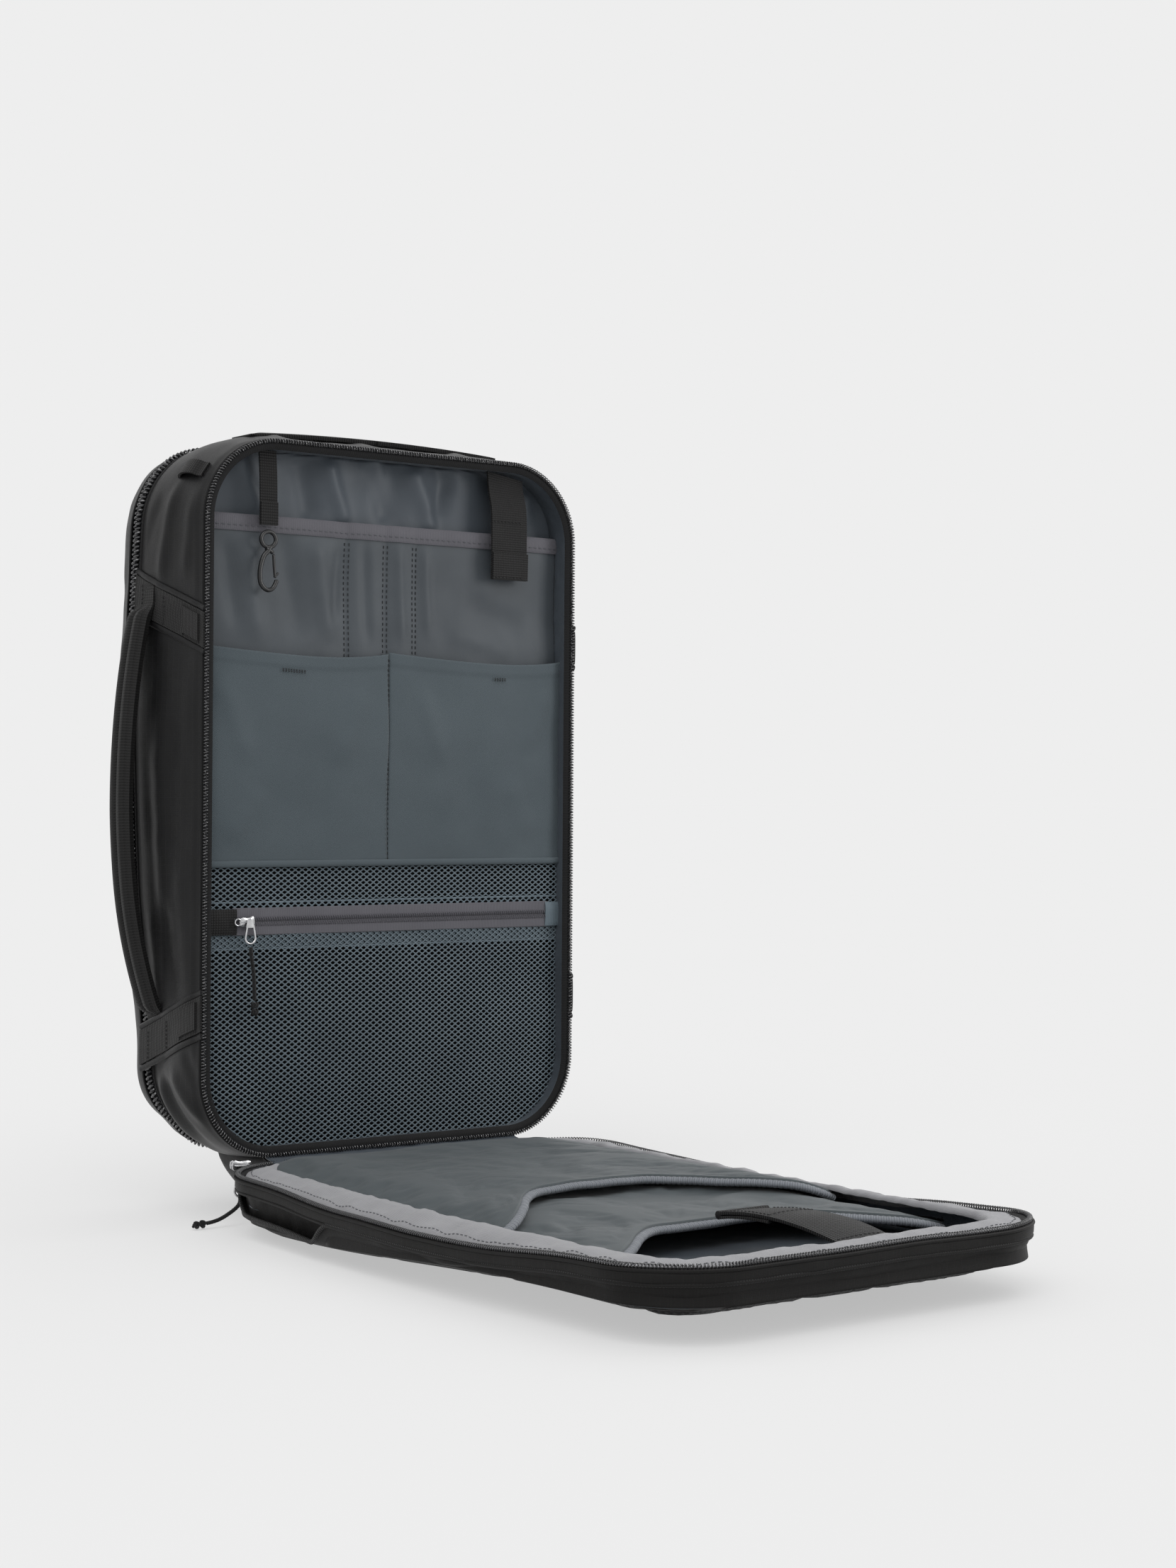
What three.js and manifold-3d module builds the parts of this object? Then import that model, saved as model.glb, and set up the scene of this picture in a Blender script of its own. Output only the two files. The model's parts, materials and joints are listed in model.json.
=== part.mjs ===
// Travel backpack, standing open: the laptop lid is folded down flat in front of the organiser.
// Millimetres, +Z up, -Y towards the open organiser. The origin is the middle of the resting base.
import * as THREE from 'three';
import { mergeVertices } from 'three/addons/utils/BufferGeometryUtils.js';
import Module from 'manifold-3d';

const wasm = await Module();
wasm.setup();

// Driving dimensions
const WIDTH = 300;
const SIDE_DEPTH = 88;
const HINGE_Z = 40;
const SHELL_FROM_HINGE = 3;
const FACE_HEIGHT = 480;
const CORNER_RADIUS = 55;
const CORNER_STEPS = 5;
const PANEL_DEPTH = 39.5;
const GAP = 0.3;
const ZIP_WIDTH = 6;
const ZIP_DEPTH = 6.2;
const WALL = 3;
const LINING = 0.8;

// Planes worked out from them
const HALF_WIDTH = WIDTH / 2;
const FACE_Y = -SIDE_DEPTH / 2;
const BACK_Y = SIDE_DEPTH / 2;
const SHELL_LOW = HINGE_Z + SHELL_FROM_HINGE;
const SHELL_TOP = HINGE_Z + FACE_HEIGHT;
const SHELL_FRONT = FACE_Y + 0.5;
const SHELL_BACK = BACK_Y - 0.5;
const GUSSET_FRONT = SHELL_FRONT + ZIP_DEPTH + GAP;
const GUSSET_BACK = SHELL_BACK - ZIP_DEPTH - GAP;

// Organiser layers, as distances behind the face plane
const STRETCH_POCKET_Y = FACE_Y + 9;
const UPPER_POCKET_Y = FACE_Y + 16;
const ORGANISER_WALL_Y = FACE_Y + 24;
const POCKET_THICKNESS = 2;
const ORGANISER_WALL_THICKNESS = 3;
const POCKET_HALF_WIDTH = 144;
const INNER_RADIUS = 53;

// Organiser heights above the hinge line
const UPPER_POCKET_TOP = HINGE_Z + 430;
const BINDING_HEIGHT = 9;
const STRETCH_POCKET_TOP = HINGE_Z + 342;
const POCKET_BASE = HINGE_Z + 199;
const ZIP_BAND_TOP = HINGE_Z + 167;
const ZIP_BAND_LOW = HINGE_Z + 151;
const DIVIDER_X = [-33, -2, 22];

// Lid layers above the floor
const BACK_PAD_THICKNESS = 6;
const STOW_LOW = BACK_PAD_THICKNESS + GAP;
const STOW_TOP = 16.5;
const TRAY_FLOOR = 19;
const LAPTOP_SLEEVE_Z = 30;
const TABLET_SLEEVE_Z = 37.6;
const LID_RIM = HINGE_Z - 0.5;
const LID_NEAR = FACE_Y - SHELL_FROM_HINGE;
const LID_FAR = FACE_Y - FACE_HEIGHT;
const SLEEVE_HALF_WIDTH = 126;
const SLEEVE_NEAR = LID_NEAR - 9;

// Colours from dry, black-dyed nylon, slate linings and grey tapes
const BLACK_FABRIC = { color: 0x1d1e20, roughness: 0.62, metalness: 0 };
const BLACK_WEBBING = { color: 0x141416, roughness: 0.8, metalness: 0 };
const ZIP_BLACK = { color: 0x101012, roughness: 0.5, metalness: 0 };
const SLATE_LINING = { color: 0x3d444b, roughness: 0.5, metalness: 0 };
const SLATE_PADDED = { color: 0x4a5257, roughness: 0.6, metalness: 0 };
const STRETCH_TEAL = { color: 0x46535a, roughness: 0.8, metalness: 0 };
const MESH_TEAL = { color: 0x2f4550, roughness: 0.8, metalness: 0 };
const GREY_TAPE = { color: 0x5a595e, roughness: 0.75, metalness: 0 };
const PALE_FACING = { color: 0x85868a, roughness: 0.75, metalness: 0 };
const STEEL = { color: 0xa8a9ad, roughness: 0.35, metalness: 1 };
const BLACK_PLASTIC = { color: 0x0d0d0e, roughness: 0.4, metalness: 0 };
const CORD_BLACK = { color: 0x0f0f10, roughness: 0.8, metalness: 0 };

const backpack = new THREE.Group();

function place(name, geometry, finish) {
  const mesh = new THREE.Mesh(geometry, new THREE.MeshStandardMaterial(finish));
  mesh.name = name;
  backpack.add(mesh);
  return mesh;
}

// Solids from closed loops of points

function roundedOutline(low, high, radius) {
  const corners = [
    [high.x - radius, low.y + radius, -90],
    [high.x - radius, high.y - radius, 0],
    [low.x + radius, high.y - radius, 90],
    [low.x + radius, low.y + radius, 180],
  ];
  return corners.flatMap(([x, y, start]) => Array.from({ length: CORNER_STEPS + 1 }, (_, step) => {
    const angle = THREE.MathUtils.degToRad(start + (90 * step) / CORNER_STEPS);
    return new THREE.Vector2(x + radius * Math.cos(angle), y + radius * Math.sin(angle));
  }));
}

function signedVolume(points, triangles) {
  let volume = 0;
  for (let i = 0; i < triangles.length; i += 3) {
    const [a, b, c] = [points[triangles[i]], points[triangles[i + 1]], points[triangles[i + 2]]];
    volume += a.dot(new THREE.Vector3().crossVectors(b, c)) / 6;
  }
  return volume;
}

function loft(loops, closed = false) {
  const count = loops[0].length;
  const points = loops.flat();
  const triangles = [];
  const spans = closed ? loops.length : loops.length - 1;
  for (let ring = 0; ring < spans; ring += 1) {
    const here = ring * count;
    const next = ((ring + 1) % loops.length) * count;
    for (let i = 0; i < count; i += 1) {
      const j = (i + 1) % count;
      triangles.push(here + i, here + j, next + j, here + i, next + j, next + i);
    }
  }
  if (!closed) {
    const last = (loops.length - 1) * count;
    for (let i = 1; i < count - 1; i += 1) {
      triangles.push(0, i + 1, i);
      triangles.push(last, last + i, last + i + 1);
    }
  }
  if (signedVolume(points, triangles) < 0) {
    triangles.reverse();
  }
  const geometry = new THREE.BufferGeometry();
  const places = points.flatMap((p) => p.toArray());
  geometry.setAttribute('position', new THREE.Float32BufferAttribute(places, 3));
  geometry.setIndex(triangles);
  return geometry;
}

// A loop standing in the plane of the face, moved in from the shell's outline by an inset
function standingLoop(inset, y, radius = CORNER_RADIUS - inset) {
  const low = new THREE.Vector2(inset - HALF_WIDTH, SHELL_LOW + inset);
  const high = new THREE.Vector2(HALF_WIDTH - inset, SHELL_TOP - inset);
  return roundedOutline(low, high, radius).map((p) => new THREE.Vector3(p.x, y, p.y));
}

// A loop lying flat, moved in from the lid's outline by an inset
function lyingLoop(inset, z, radius = CORNER_RADIUS - inset) {
  const low = new THREE.Vector2(inset - HALF_WIDTH, LID_FAR + inset);
  const high = new THREE.Vector2(HALF_WIDTH - inset, LID_NEAR - inset);
  return roundedOutline(low, high, radius).map((p) => new THREE.Vector3(p.x, p.y, z));
}

function standingRing(outerInset, innerInset, front, back) {
  return loft([
    standingLoop(outerInset, front),
    standingLoop(outerInset, back),
    standingLoop(innerInset, back),
    standingLoop(innerInset, front),
  ], true);
}

function lyingRing(outerInset, innerInset, low, high) {
  return loft([
    lyingLoop(outerInset, low),
    lyingLoop(outerInset, high),
    lyingLoop(innerInset, high),
    lyingLoop(innerInset, low),
  ], true);
}

function block(low, high) {
  const geometry = new THREE.BoxGeometry(high[0] - low[0], high[1] - low[1], high[2] - low[2]);
  return geometry.translate((low[0] + high[0]) / 2, (low[1] + high[1]) / 2, (low[2] + high[2]) / 2);
}

// A flat strap: a rectangle carried along a path, with its width along a fixed direction
function strap(path, widthDirection, width, thickness) {
  const side = new THREE.Vector3(...widthDirection).normalize();
  const points = path.map((p) => new THREE.Vector3(...p));
  const loops = points.map((point, i) => {
    const before = points[Math.max(i - 1, 0)];
    const after = points[Math.min(i + 1, points.length - 1)];
    const along = new THREE.Vector3().subVectors(after, before).normalize();
    const normal = new THREE.Vector3().crossVectors(side, along).normalize();
    return [[-1, -1], [1, -1], [1, 1], [-1, 1]].map(([s, n]) => point.clone()
      .addScaledVector(side, (s * width) / 2)
      .addScaledVector(normal, (n * thickness) / 2));
  });
  return loft(loops);
}

const PLATE_OPTIONS = { bevelEnabled: false, curveSegments: 6 };

// Straight-sided solid from an outline in X and Z, with its front face at a given Y
function standingPlate(shape, frontY, thickness) {
  const geometry = new THREE.ExtrudeGeometry(shape, { ...PLATE_OPTIONS, depth: thickness });
  return geometry.rotateX(Math.PI / 2).translate(0, frontY + thickness, 0);
}

// Straight-sided solid from an outline in X and Y, with its lowest face at a given Z
function lyingPlate(shape, lowZ, thickness) {
  const geometry = new THREE.ExtrudeGeometry(shape, { ...PLATE_OPTIONS, depth: thickness });
  return geometry.translate(0, 0, lowZ);
}

function tube(route, diameter, sides, steps) {
  const section = new THREE.Shape(Array.from({ length: sides }, (_, i) => {
    const angle = (2 * Math.PI * i) / sides;
    return new THREE.Vector2(Math.cos(angle), Math.sin(angle)).multiplyScalar(diameter / 2);
  }));
  const extrudePath = new THREE.CatmullRomCurve3(route.map((p) => new THREE.Vector3(...p)));
  return new THREE.ExtrudeGeometry(section, { steps, bevelEnabled: false, extrudePath });
}

// Joins and cuts

function toManifold(geometry) {
  const bare = geometry.clone();
  bare.deleteAttribute('normal');
  bare.deleteAttribute('uv');
  const merged = mergeVertices(bare, 1e-4);
  return new wasm.Manifold(new wasm.Mesh({
    numProp: 3,
    vertProperties: new Float32Array(merged.attributes.position.array),
    triVerts: new Uint32Array(merged.index.array),
  }));
}

function toGeometry(solid) {
  const mesh = solid.getMesh();
  const geometry = new THREE.BufferGeometry();
  geometry.setAttribute('position', new THREE.Float32BufferAttribute(mesh.vertProperties, 3));
  geometry.setIndex(Array.from(mesh.triVerts));
  return geometry;
}

function cut(geometry, ...tools) {
  return toGeometry(tools.reduce((solid, tool) => solid.subtract(toManifold(tool)), toManifold(geometry)));
}

function join(...geometries) {
  const [first, ...others] = geometries.map(toManifold);
  return toGeometry(others.reduce((solid, other) => solid.add(other), first));
}

// Shell: the side walls, their lining and the sagging base

place('gusset', standingRing(0, WALL, GUSSET_FRONT, GUSSET_BACK), BLACK_FABRIC);
place(
  'compartment_lining',
  standingRing(WALL + GAP, WALL + GAP + LINING, GUSSET_FRONT, GUSSET_BACK),
  SLATE_LINING,
);
place('face_zip', standingRing(0, ZIP_WIDTH, SHELL_FRONT, SHELL_FRONT + ZIP_DEPTH), ZIP_BLACK);
place('main_zip', standingRing(0, ZIP_WIDTH, SHELL_BACK - ZIP_DEPTH, SHELL_BACK), ZIP_BLACK);

function baseLoop(halfX, halfY, radius, z) {
  const high = new THREE.Vector2(halfX, halfY);
  return roundedOutline(high.clone().negate(), high, radius).map((p) => new THREE.Vector3(p.x, p.y, z));
}

place('bottom_panel', loft([
  baseLoop(86, 28, 20, 0),
  baseLoop(95, 33, 24, 5),
  baseLoop(100, 36, 26, 16),
  baseLoop(94, 36, 24, SHELL_LOW - GAP),
]), BLACK_FABRIC);

const HINGE_TAPE_RADIUS = 2;
const HINGE_TAPE_LENGTH = 186;
place(
  'hinge_piping',
  new THREE.CylinderGeometry(HINGE_TAPE_RADIUS, HINGE_TAPE_RADIUS, HINGE_TAPE_LENGTH, 8)
    .rotateZ(Math.PI / 2).translate(0, FACE_Y, HINGE_Z),
  BLACK_WEBBING,
);

// Organiser: wall, pockets and their tapes

const wallInset = WALL + GAP + LINING + GAP;
place('organiser_wall', loft([
  standingLoop(wallInset, ORGANISER_WALL_Y),
  standingLoop(wallInset, ORGANISER_WALL_Y + ORGANISER_WALL_THICKNESS),
]), SLATE_LINING);

place('upper_pockets', block(
  [-POCKET_HALF_WIDTH, UPPER_POCKET_Y, POCKET_BASE + GAP],
  [POCKET_HALF_WIDTH, UPPER_POCKET_Y + POCKET_THICKNESS, UPPER_POCKET_TOP - BINDING_HEIGHT - GAP],
), SLATE_LINING);
place('upper_pocket_binding', block(
  [-POCKET_HALF_WIDTH, UPPER_POCKET_Y - 0.6, UPPER_POCKET_TOP - BINDING_HEIGHT],
  [POCKET_HALF_WIDTH, UPPER_POCKET_Y + POCKET_THICKNESS + 0.6, UPPER_POCKET_TOP],
), GREY_TAPE);
DIVIDER_X.forEach((x, index) => place(`pocket_divider_${index + 1}`, block(
  [x - 1, UPPER_POCKET_Y + POCKET_THICKNESS + GAP, POCKET_BASE + GAP],
  [x + 1, ORGANISER_WALL_Y - GAP, UPPER_POCKET_TOP - BINDING_HEIGHT - 2],
), SLATE_LINING));

const stretchPocketSpans = { left: [-POCKET_HALF_WIDTH, -2.4], right: [-1.6, POCKET_HALF_WIDTH] };
for (const [side, [lowX, highX]] of Object.entries(stretchPocketSpans)) {
  place(`stretch_pocket_${side}`, block(
    [lowX, STRETCH_POCKET_Y, POCKET_BASE + GAP],
    [highX, STRETCH_POCKET_Y + POCKET_THICKNESS, STRETCH_POCKET_TOP],
  ), STRETCH_TEAL);
}

const PANEL_FRONT = FACE_Y + 11;
const SEAM_DEPTH = 3.4;
place('pocket_base_seam', block(
  [-POCKET_HALF_WIDTH, STRETCH_POCKET_Y, POCKET_BASE - SEAM_DEPTH],
  [POCKET_HALF_WIDTH, ORGANISER_WALL_Y - GAP, POCKET_BASE],
), SLATE_LINING);
place('mesh_band', block(
  [-POCKET_HALF_WIDTH, PANEL_FRONT, ZIP_BAND_TOP + GAP],
  [POCKET_HALF_WIDTH, PANEL_FRONT + POCKET_THICKNESS, POCKET_BASE - SEAM_DEPTH - GAP],
), MESH_TEAL);

const TAB_LEFT_X = -122;
const TAB_RIGHT_X = 134;
const zipBand = (lowX, highX) => block(
  [lowX, PANEL_FRONT, ZIP_BAND_LOW],
  [highX, PANEL_FRONT + POCKET_THICKNESS, ZIP_BAND_TOP],
);
place('inner_zip_tape', zipBand(TAB_LEFT_X + GAP, TAB_RIGHT_X - GAP), GREY_TAPE);
place('inner_zip_tab_left', zipBand(-POCKET_HALF_WIDTH, TAB_LEFT_X), BLACK_WEBBING);
place('inner_zip_tab_right', zipBand(TAB_RIGHT_X, POCKET_HALF_WIDTH), MESH_TEAL);

const COIL_Z = (ZIP_BAND_LOW + ZIP_BAND_TOP) / 2;
const COIL_DEPTH = 1.4;
place('inner_zip_coil', block(
  [TAB_LEFT_X + GAP, PANEL_FRONT - GAP - COIL_DEPTH, COIL_Z - 1.8],
  [TAB_RIGHT_X - GAP, PANEL_FRONT - GAP, COIL_Z + 1.8],
), GREY_TAPE);

const meshPocket = new THREE.Shape();
const meshLow = SHELL_LOW + wallInset + GAP;
const meshCornerX = POCKET_HALF_WIDTH - INNER_RADIUS;
const meshCornerZ = meshLow + INNER_RADIUS;
meshPocket.moveTo(-POCKET_HALF_WIDTH, ZIP_BAND_LOW - GAP);
meshPocket.lineTo(-POCKET_HALF_WIDTH, meshCornerZ);
meshPocket.absarc(-meshCornerX, meshCornerZ, INNER_RADIUS, Math.PI, 1.5 * Math.PI);
meshPocket.absarc(meshCornerX, meshCornerZ, INNER_RADIUS, -0.5 * Math.PI, 0);
meshPocket.lineTo(POCKET_HALF_WIDTH, ZIP_BAND_LOW - GAP);
place('mesh_pocket', standingPlate(meshPocket, PANEL_FRONT, POCKET_THICKNESS), MESH_TEAL);

// Pocket zip slider, its pull and the knotted cord on it

const SLIDER_X = -114;
const SLIDER_FRONT = PANEL_FRONT - GAP - COIL_DEPTH - GAP;
const sliderShape = new THREE.Shape();
sliderShape.moveTo(-5.5, -3);
sliderShape.lineTo(3, -3);
sliderShape.lineTo(5.5, -4);
sliderShape.lineTo(5.5, 4);
sliderShape.lineTo(3, 3);
sliderShape.lineTo(-5.5, 3);
place(
  'inner_zip_slider',
  standingPlate(sliderShape, SLIDER_FRONT - 3, 3).translate(SLIDER_X, 0, COIL_Z),
  STEEL,
);

// A flat pull tab with an eye at its lower end, hanging from the origin
function pullTab(length, width, thickness) {
  const outline = new THREE.Shape();
  const radius = width / 2;
  outline.moveTo(-radius * 0.6, 0);
  outline.lineTo(-radius, radius - length);
  outline.absarc(0, radius - length, radius, Math.PI, 2 * Math.PI);
  outline.lineTo(radius * 0.6, 0);
  const eye = new THREE.Path();
  eye.absellipse(0, radius - length + 1.5, radius - 1.6, radius + 0.6, 0, 2 * Math.PI, true);
  outline.holes.push(eye);
  return standingPlate(outline, -thickness / 2, thickness);
}

const INNER_PULL_LENGTH = 17;
const INNER_PULL_Y = SLIDER_FRONT - 3 - GAP - 0.8;
place(
  'inner_zip_pull',
  pullTab(INNER_PULL_LENGTH, 9, 1.6).translate(SLIDER_X + 1, INNER_PULL_Y, COIL_Z + 2),
  STEEL,
);

const INNER_CORD_ROUTE = [
  [-113, -39.9, 182.2], [-113, -40.1, 180], [-112.8, -40.2, 177.5], [-112.5, -40.2, 175],
  [-112.1, -40.2, 172.5], [-111.7, -40.2, 170], [-111.3, -40.2, 167.5], [-111, -40.2, 165],
  [-110.8, -40.2, 162.5], [-110.6, -40.2, 160], [-110.5, -40.2, 157.5], [-110.4, -40.2, 155],
  [-110.3, -40.2, 152.5], [-110.2, -40.2, 150], [-110.1, -40.2, 147.5],
];
const CORD_DIAMETER = 2.6;
const CORD_SIDES = 8;
place('inner_pull_cord', tube(INNER_CORD_ROUTE, CORD_DIAMETER, CORD_SIDES, 14), CORD_BLACK);
const knotProfile = [[0, -5], [2.6, -4], [3.2, -1], [3.2, 2], [2.2, 4.4], [0, 5]];
const knotGeometry = () => new THREE.LatheGeometry(knotProfile.map(([r, y]) => new THREE.Vector2(r, y)), 10)
  .rotateX(Math.PI / 2);
place('inner_pull_knot', knotGeometry().translate(-110.1, -40.2, 142.1), CORD_BLACK);

// Key leash with its snap hook, and the webbing pull strap

const LEASH_X = -100;
const LEASH_Y = FACE_Y + 7.5;
const LEASH_TOP = 511;
const LEASH_LOW = 462;
place('key_leash', strap(
  [[LEASH_X, LEASH_Y + 2, LEASH_TOP], [LEASH_X, LEASH_Y, LEASH_TOP - 16], [LEASH_X, LEASH_Y, LEASH_LOW]],
  [1, 0, 0], 13, 1.6,
), BLACK_WEBBING);

const EYE_Z = LEASH_LOW - 8.5;
const eyeRing = new THREE.TorusGeometry(5.4, 1.5, 6, 16)
  .rotateX(Math.PI / 2)
  .translate(LEASH_X, LEASH_Y, EYE_Z);
const hookRoute = [
  [LEASH_X, LEASH_Y, EYE_Z - 5], [LEASH_X - 3, LEASH_Y, EYE_Z - 9], [LEASH_X - 5.6, LEASH_Y, EYE_Z - 17],
  [LEASH_X - 6.4, LEASH_Y, EYE_Z - 26], [LEASH_X - 4, LEASH_Y, EYE_Z - 32], [LEASH_X, LEASH_Y, EYE_Z - 34],
  [LEASH_X + 4, LEASH_Y, EYE_Z - 32], [LEASH_X + 5.6, LEASH_Y, EYE_Z - 27],
];
place('snap_hook', join(eyeRing, tube(hookRoute, 3.2, 8, 16)), BLACK_PLASTIC);
place('snap_gate', strap(
  [[LEASH_X + 5.3, LEASH_Y, EYE_Z - 25.8], [LEASH_X + 3.4, LEASH_Y, EYE_Z - 9.6]],
  [0, 1, 0], 2.4, 1.8,
), BLACK_PLASTIC);

const PULL_STRAP_X = 96;
place('pull_strap', strap(
  [[PULL_STRAP_X - 4, FACE_Y + 9, 508], [PULL_STRAP_X, FACE_Y + 8, 490], [PULL_STRAP_X, FACE_Y + 8, 436]],
  [1, 0, 0], 30, 3,
), BLACK_WEBBING);

// Outside: webbing bands, side handles, top handle and corner loops

const BAND_WIDTH = 25;
const BAND_THICKNESS = 1.6;
const BAND_Y = BACK_Y - 2;
const BAND_X = HALF_WIDTH + GAP + BAND_THICKNESS / 2;
const SIDE_HANDLE_X = HALF_WIDTH + 2 * GAP + BAND_THICKNESS;
const HANDLE_THICKNESS = 5;
const HANDLE_WIDTH = 24;
const HANDLE_Y = 27;
const HANDLE_BOW = 20;
const sides = { left: -1, right: 1 };
const bands = { upper: [HINGE_Z + 348, HINGE_Z + 383], lower: [HINGE_Z + 103, HINGE_Z + 69] };

for (const [side, sign] of Object.entries(sides)) {
  for (const [level, [faceZ, backZ]] of Object.entries(bands)) {
    const along = new THREE.Vector2(2 * BAND_Y, backZ - faceZ).normalize();
    place(`band_${level}_${side}`, strap(
      [[sign * BAND_X, -BAND_Y, faceZ], [sign * BAND_X, BAND_Y, backZ]],
      [0, -along.y, along.x], BAND_WIDTH, BAND_THICKNESS,
    ), BLACK_WEBBING);
  }
  const low = bands.lower[1] + 26;
  const high = bands.upper[1] - 14;
  const handlePath = Array.from({ length: 11 }, (_, i) => {
    const t = i / 10;
    const bow = HANDLE_BOW * Math.sin(Math.PI * t) ** 0.75;
    return [sign * (SIDE_HANDLE_X + HANDLE_THICKNESS / 2 + bow), HANDLE_Y, low + (high - low) * t];
  });
  place(`side_handle_${side}`, strap(handlePath, [0, 1, 0], HANDLE_WIDTH, HANDLE_THICKNESS), BLACK_WEBBING);

  const loopAngle = THREE.MathUtils.degToRad(35);
  const loopRadius = CORNER_RADIUS + 1.4;
  const loopX = sign * (HALF_WIDTH - CORNER_RADIUS + loopRadius * Math.cos(loopAngle));
  const loopZ = SHELL_TOP - CORNER_RADIUS + loopRadius * Math.sin(loopAngle);
  const lift = new THREE.Vector2(sign * Math.cos(loopAngle), Math.sin(loopAngle));
  const loopPath = [[-26, 0], [-16, 3.4], [-4, 3.4], [6, 0]].map(([y, rise]) => [
    loopX + lift.x * rise, y, loopZ + lift.y * rise,
  ]);
  place(`corner_loop_${side}`, strap(loopPath, [-lift.y, 0, lift.x], 10, 1.6), BLACK_WEBBING);
}

const TOP_HANDLE_HALF = 100;
const TOP_HANDLE_BOW = 10;
const topHandlePath = Array.from({ length: 13 }, (_, i) => {
  const t = i / 12;
  const x = -TOP_HANDLE_HALF + 2 * TOP_HANDLE_HALF * t;
  const drop = Math.max(Math.abs(x) - (HALF_WIDTH - CORNER_RADIUS), 0);
  return [x, 0, SHELL_TOP + GAP + 2 + TOP_HANDLE_BOW * Math.sin(Math.PI * t) ** 0.6 - drop * 0.05];
});
place('top_handle', strap(topHandlePath, [0, 1, 0], 26, 3.6), BLACK_WEBBING);

// Slider parked where the two halves of the face zip part, its pull and cord

const PARK_X = -122;
place('face_slider', join(
  block([PARK_X - 5, FACE_Y - 4, HINGE_Z - 3.5], [PARK_X + 5, FACE_Y + 4, HINGE_Z + 3.5]),
  block([PARK_X - 7, FACE_Y - 2.5, HINGE_Z - 2], [PARK_X + 7, FACE_Y + 2.5, HINGE_Z + 2]),
), STEEL);
const FACE_PULL_LENGTH = 17.4;
const FACE_PULL_DROP = 4.4;
place(
  'face_pull',
  pullTab(FACE_PULL_LENGTH, 10, 1.6).translate(PARK_X, FACE_Y, HINGE_Z - FACE_PULL_DROP),
  STEEL,
);
const FACE_CORD_ROUTE = [
  [-122, -44, 17.9], [-122.2, -44, 15.6], [-123.2, -44, 13.6], [-124.9, -44, 12], [-126.6, -44, 10.8],
  [-128.4, -44, 9.7], [-130.3, -44, 8.7], [-132.2, -44, 7.7], [-134.1, -44, 6.8], [-136.1, -44, 6],
  [-138.1, -44, 5.3], [-140.2, -44, 4.8], [-142.3, -44, 4.4], [-144.4, -44, 4.1], [-146.6, -44, 3.9],
];
place('face_pull_cord', tube(FACE_CORD_ROUTE, CORD_DIAMETER, CORD_SIDES, 14), CORD_BLACK);
place('face_pull_knot', knotGeometry().rotateY(Math.PI / 2).translate(-152, -44, 3.7), CORD_BLACK);

// Lid: the tray that holds the laptop, with the stowed harness under its floor

const traySolid = loft([
  lyingLoop(16, STOW_LOW, 50),
  lyingLoop(5, 15, 52),
  lyingLoop(0.5, 27),
  lyingLoop(0, LID_RIM - ZIP_DEPTH - GAP),
]);
const trayHollow = loft([lyingLoop(9, TRAY_FLOOR), lyingLoop(4, LID_RIM + 1)]);
const stowHollow = loft([lyingLoop(20, 0), lyingLoop(20, STOW_TOP)]);
const STOW_SLOT_NEAR = FACE_Y - 46;
const STOW_SLOT_FAR = FACE_Y - 148;
const slotHollow = block(
  [-HALF_WIDTH - 5, STOW_SLOT_FAR, STOW_LOW + 2],
  [HALF_WIDTH + 5, STOW_SLOT_NEAR, STOW_TOP - 2],
);
place('lid_tray', cut(traySolid, trayHollow, stowHollow, slotHollow), BLACK_FABRIC);
place('lid_zip', lyingRing(0, ZIP_WIDTH, LID_RIM - ZIP_DEPTH, LID_RIM), ZIP_BLACK);
place('back_pad', loft([
  lyingLoop(24, 0, 44),
  lyingLoop(19, 2, 47),
  lyingLoop(18, BACK_PAD_THICKNESS, 48),
]), BLACK_FABRIC);

for (const [side, sign] of Object.entries(sides)) {
  const across = [sign * 34, sign * 98].sort((a, b) => a - b);
  place(`shoulder_strap_${side}`, block(
    [across[0], LID_FAR + 32, STOW_LOW + GAP],
    [across[1], STOW_SLOT_FAR - 14, STOW_TOP - 1.5],
  ), BLACK_FABRIC);
}

place('lid_lining', loft([
  lyingLoop(9.6, TRAY_FLOOR + GAP),
  lyingLoop(9.6, TRAY_FLOOR + GAP + LINING),
]), SLATE_LINING);

const FACING_Z = 35;
place('lid_facing', cut(
  lyingRing(ZIP_WIDTH + GAP, 22, FACING_Z, FACING_Z + 1.4),
  block([-HALF_WIDTH, LID_NEAR - 22, FACING_Z - 2], [HALF_WIDTH, LID_NEAR + 2, FACING_Z + 4]),
), PALE_FACING);

// Edge of a sleeve: deep at both sides, scooped towards the hinge in the middle
function scoop(x, sideY, middleY) {
  const t = THREE.MathUtils.smoothstep(Math.abs(x), 34, SLEEVE_HALF_WIDTH);
  return middleY + (sideY - middleY) * t;
}

const SCOOP_STEPS = 16;
function scoopPoints(sideY, middleY, shift) {
  return Array.from({ length: SCOOP_STEPS + 1 }, (_, i) => {
    const x = -SLEEVE_HALF_WIDTH + (2 * SLEEVE_HALF_WIDTH * i) / SCOOP_STEPS;
    return new THREE.Vector2(x, scoop(x, sideY, middleY) + shift);
  });
}

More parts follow.
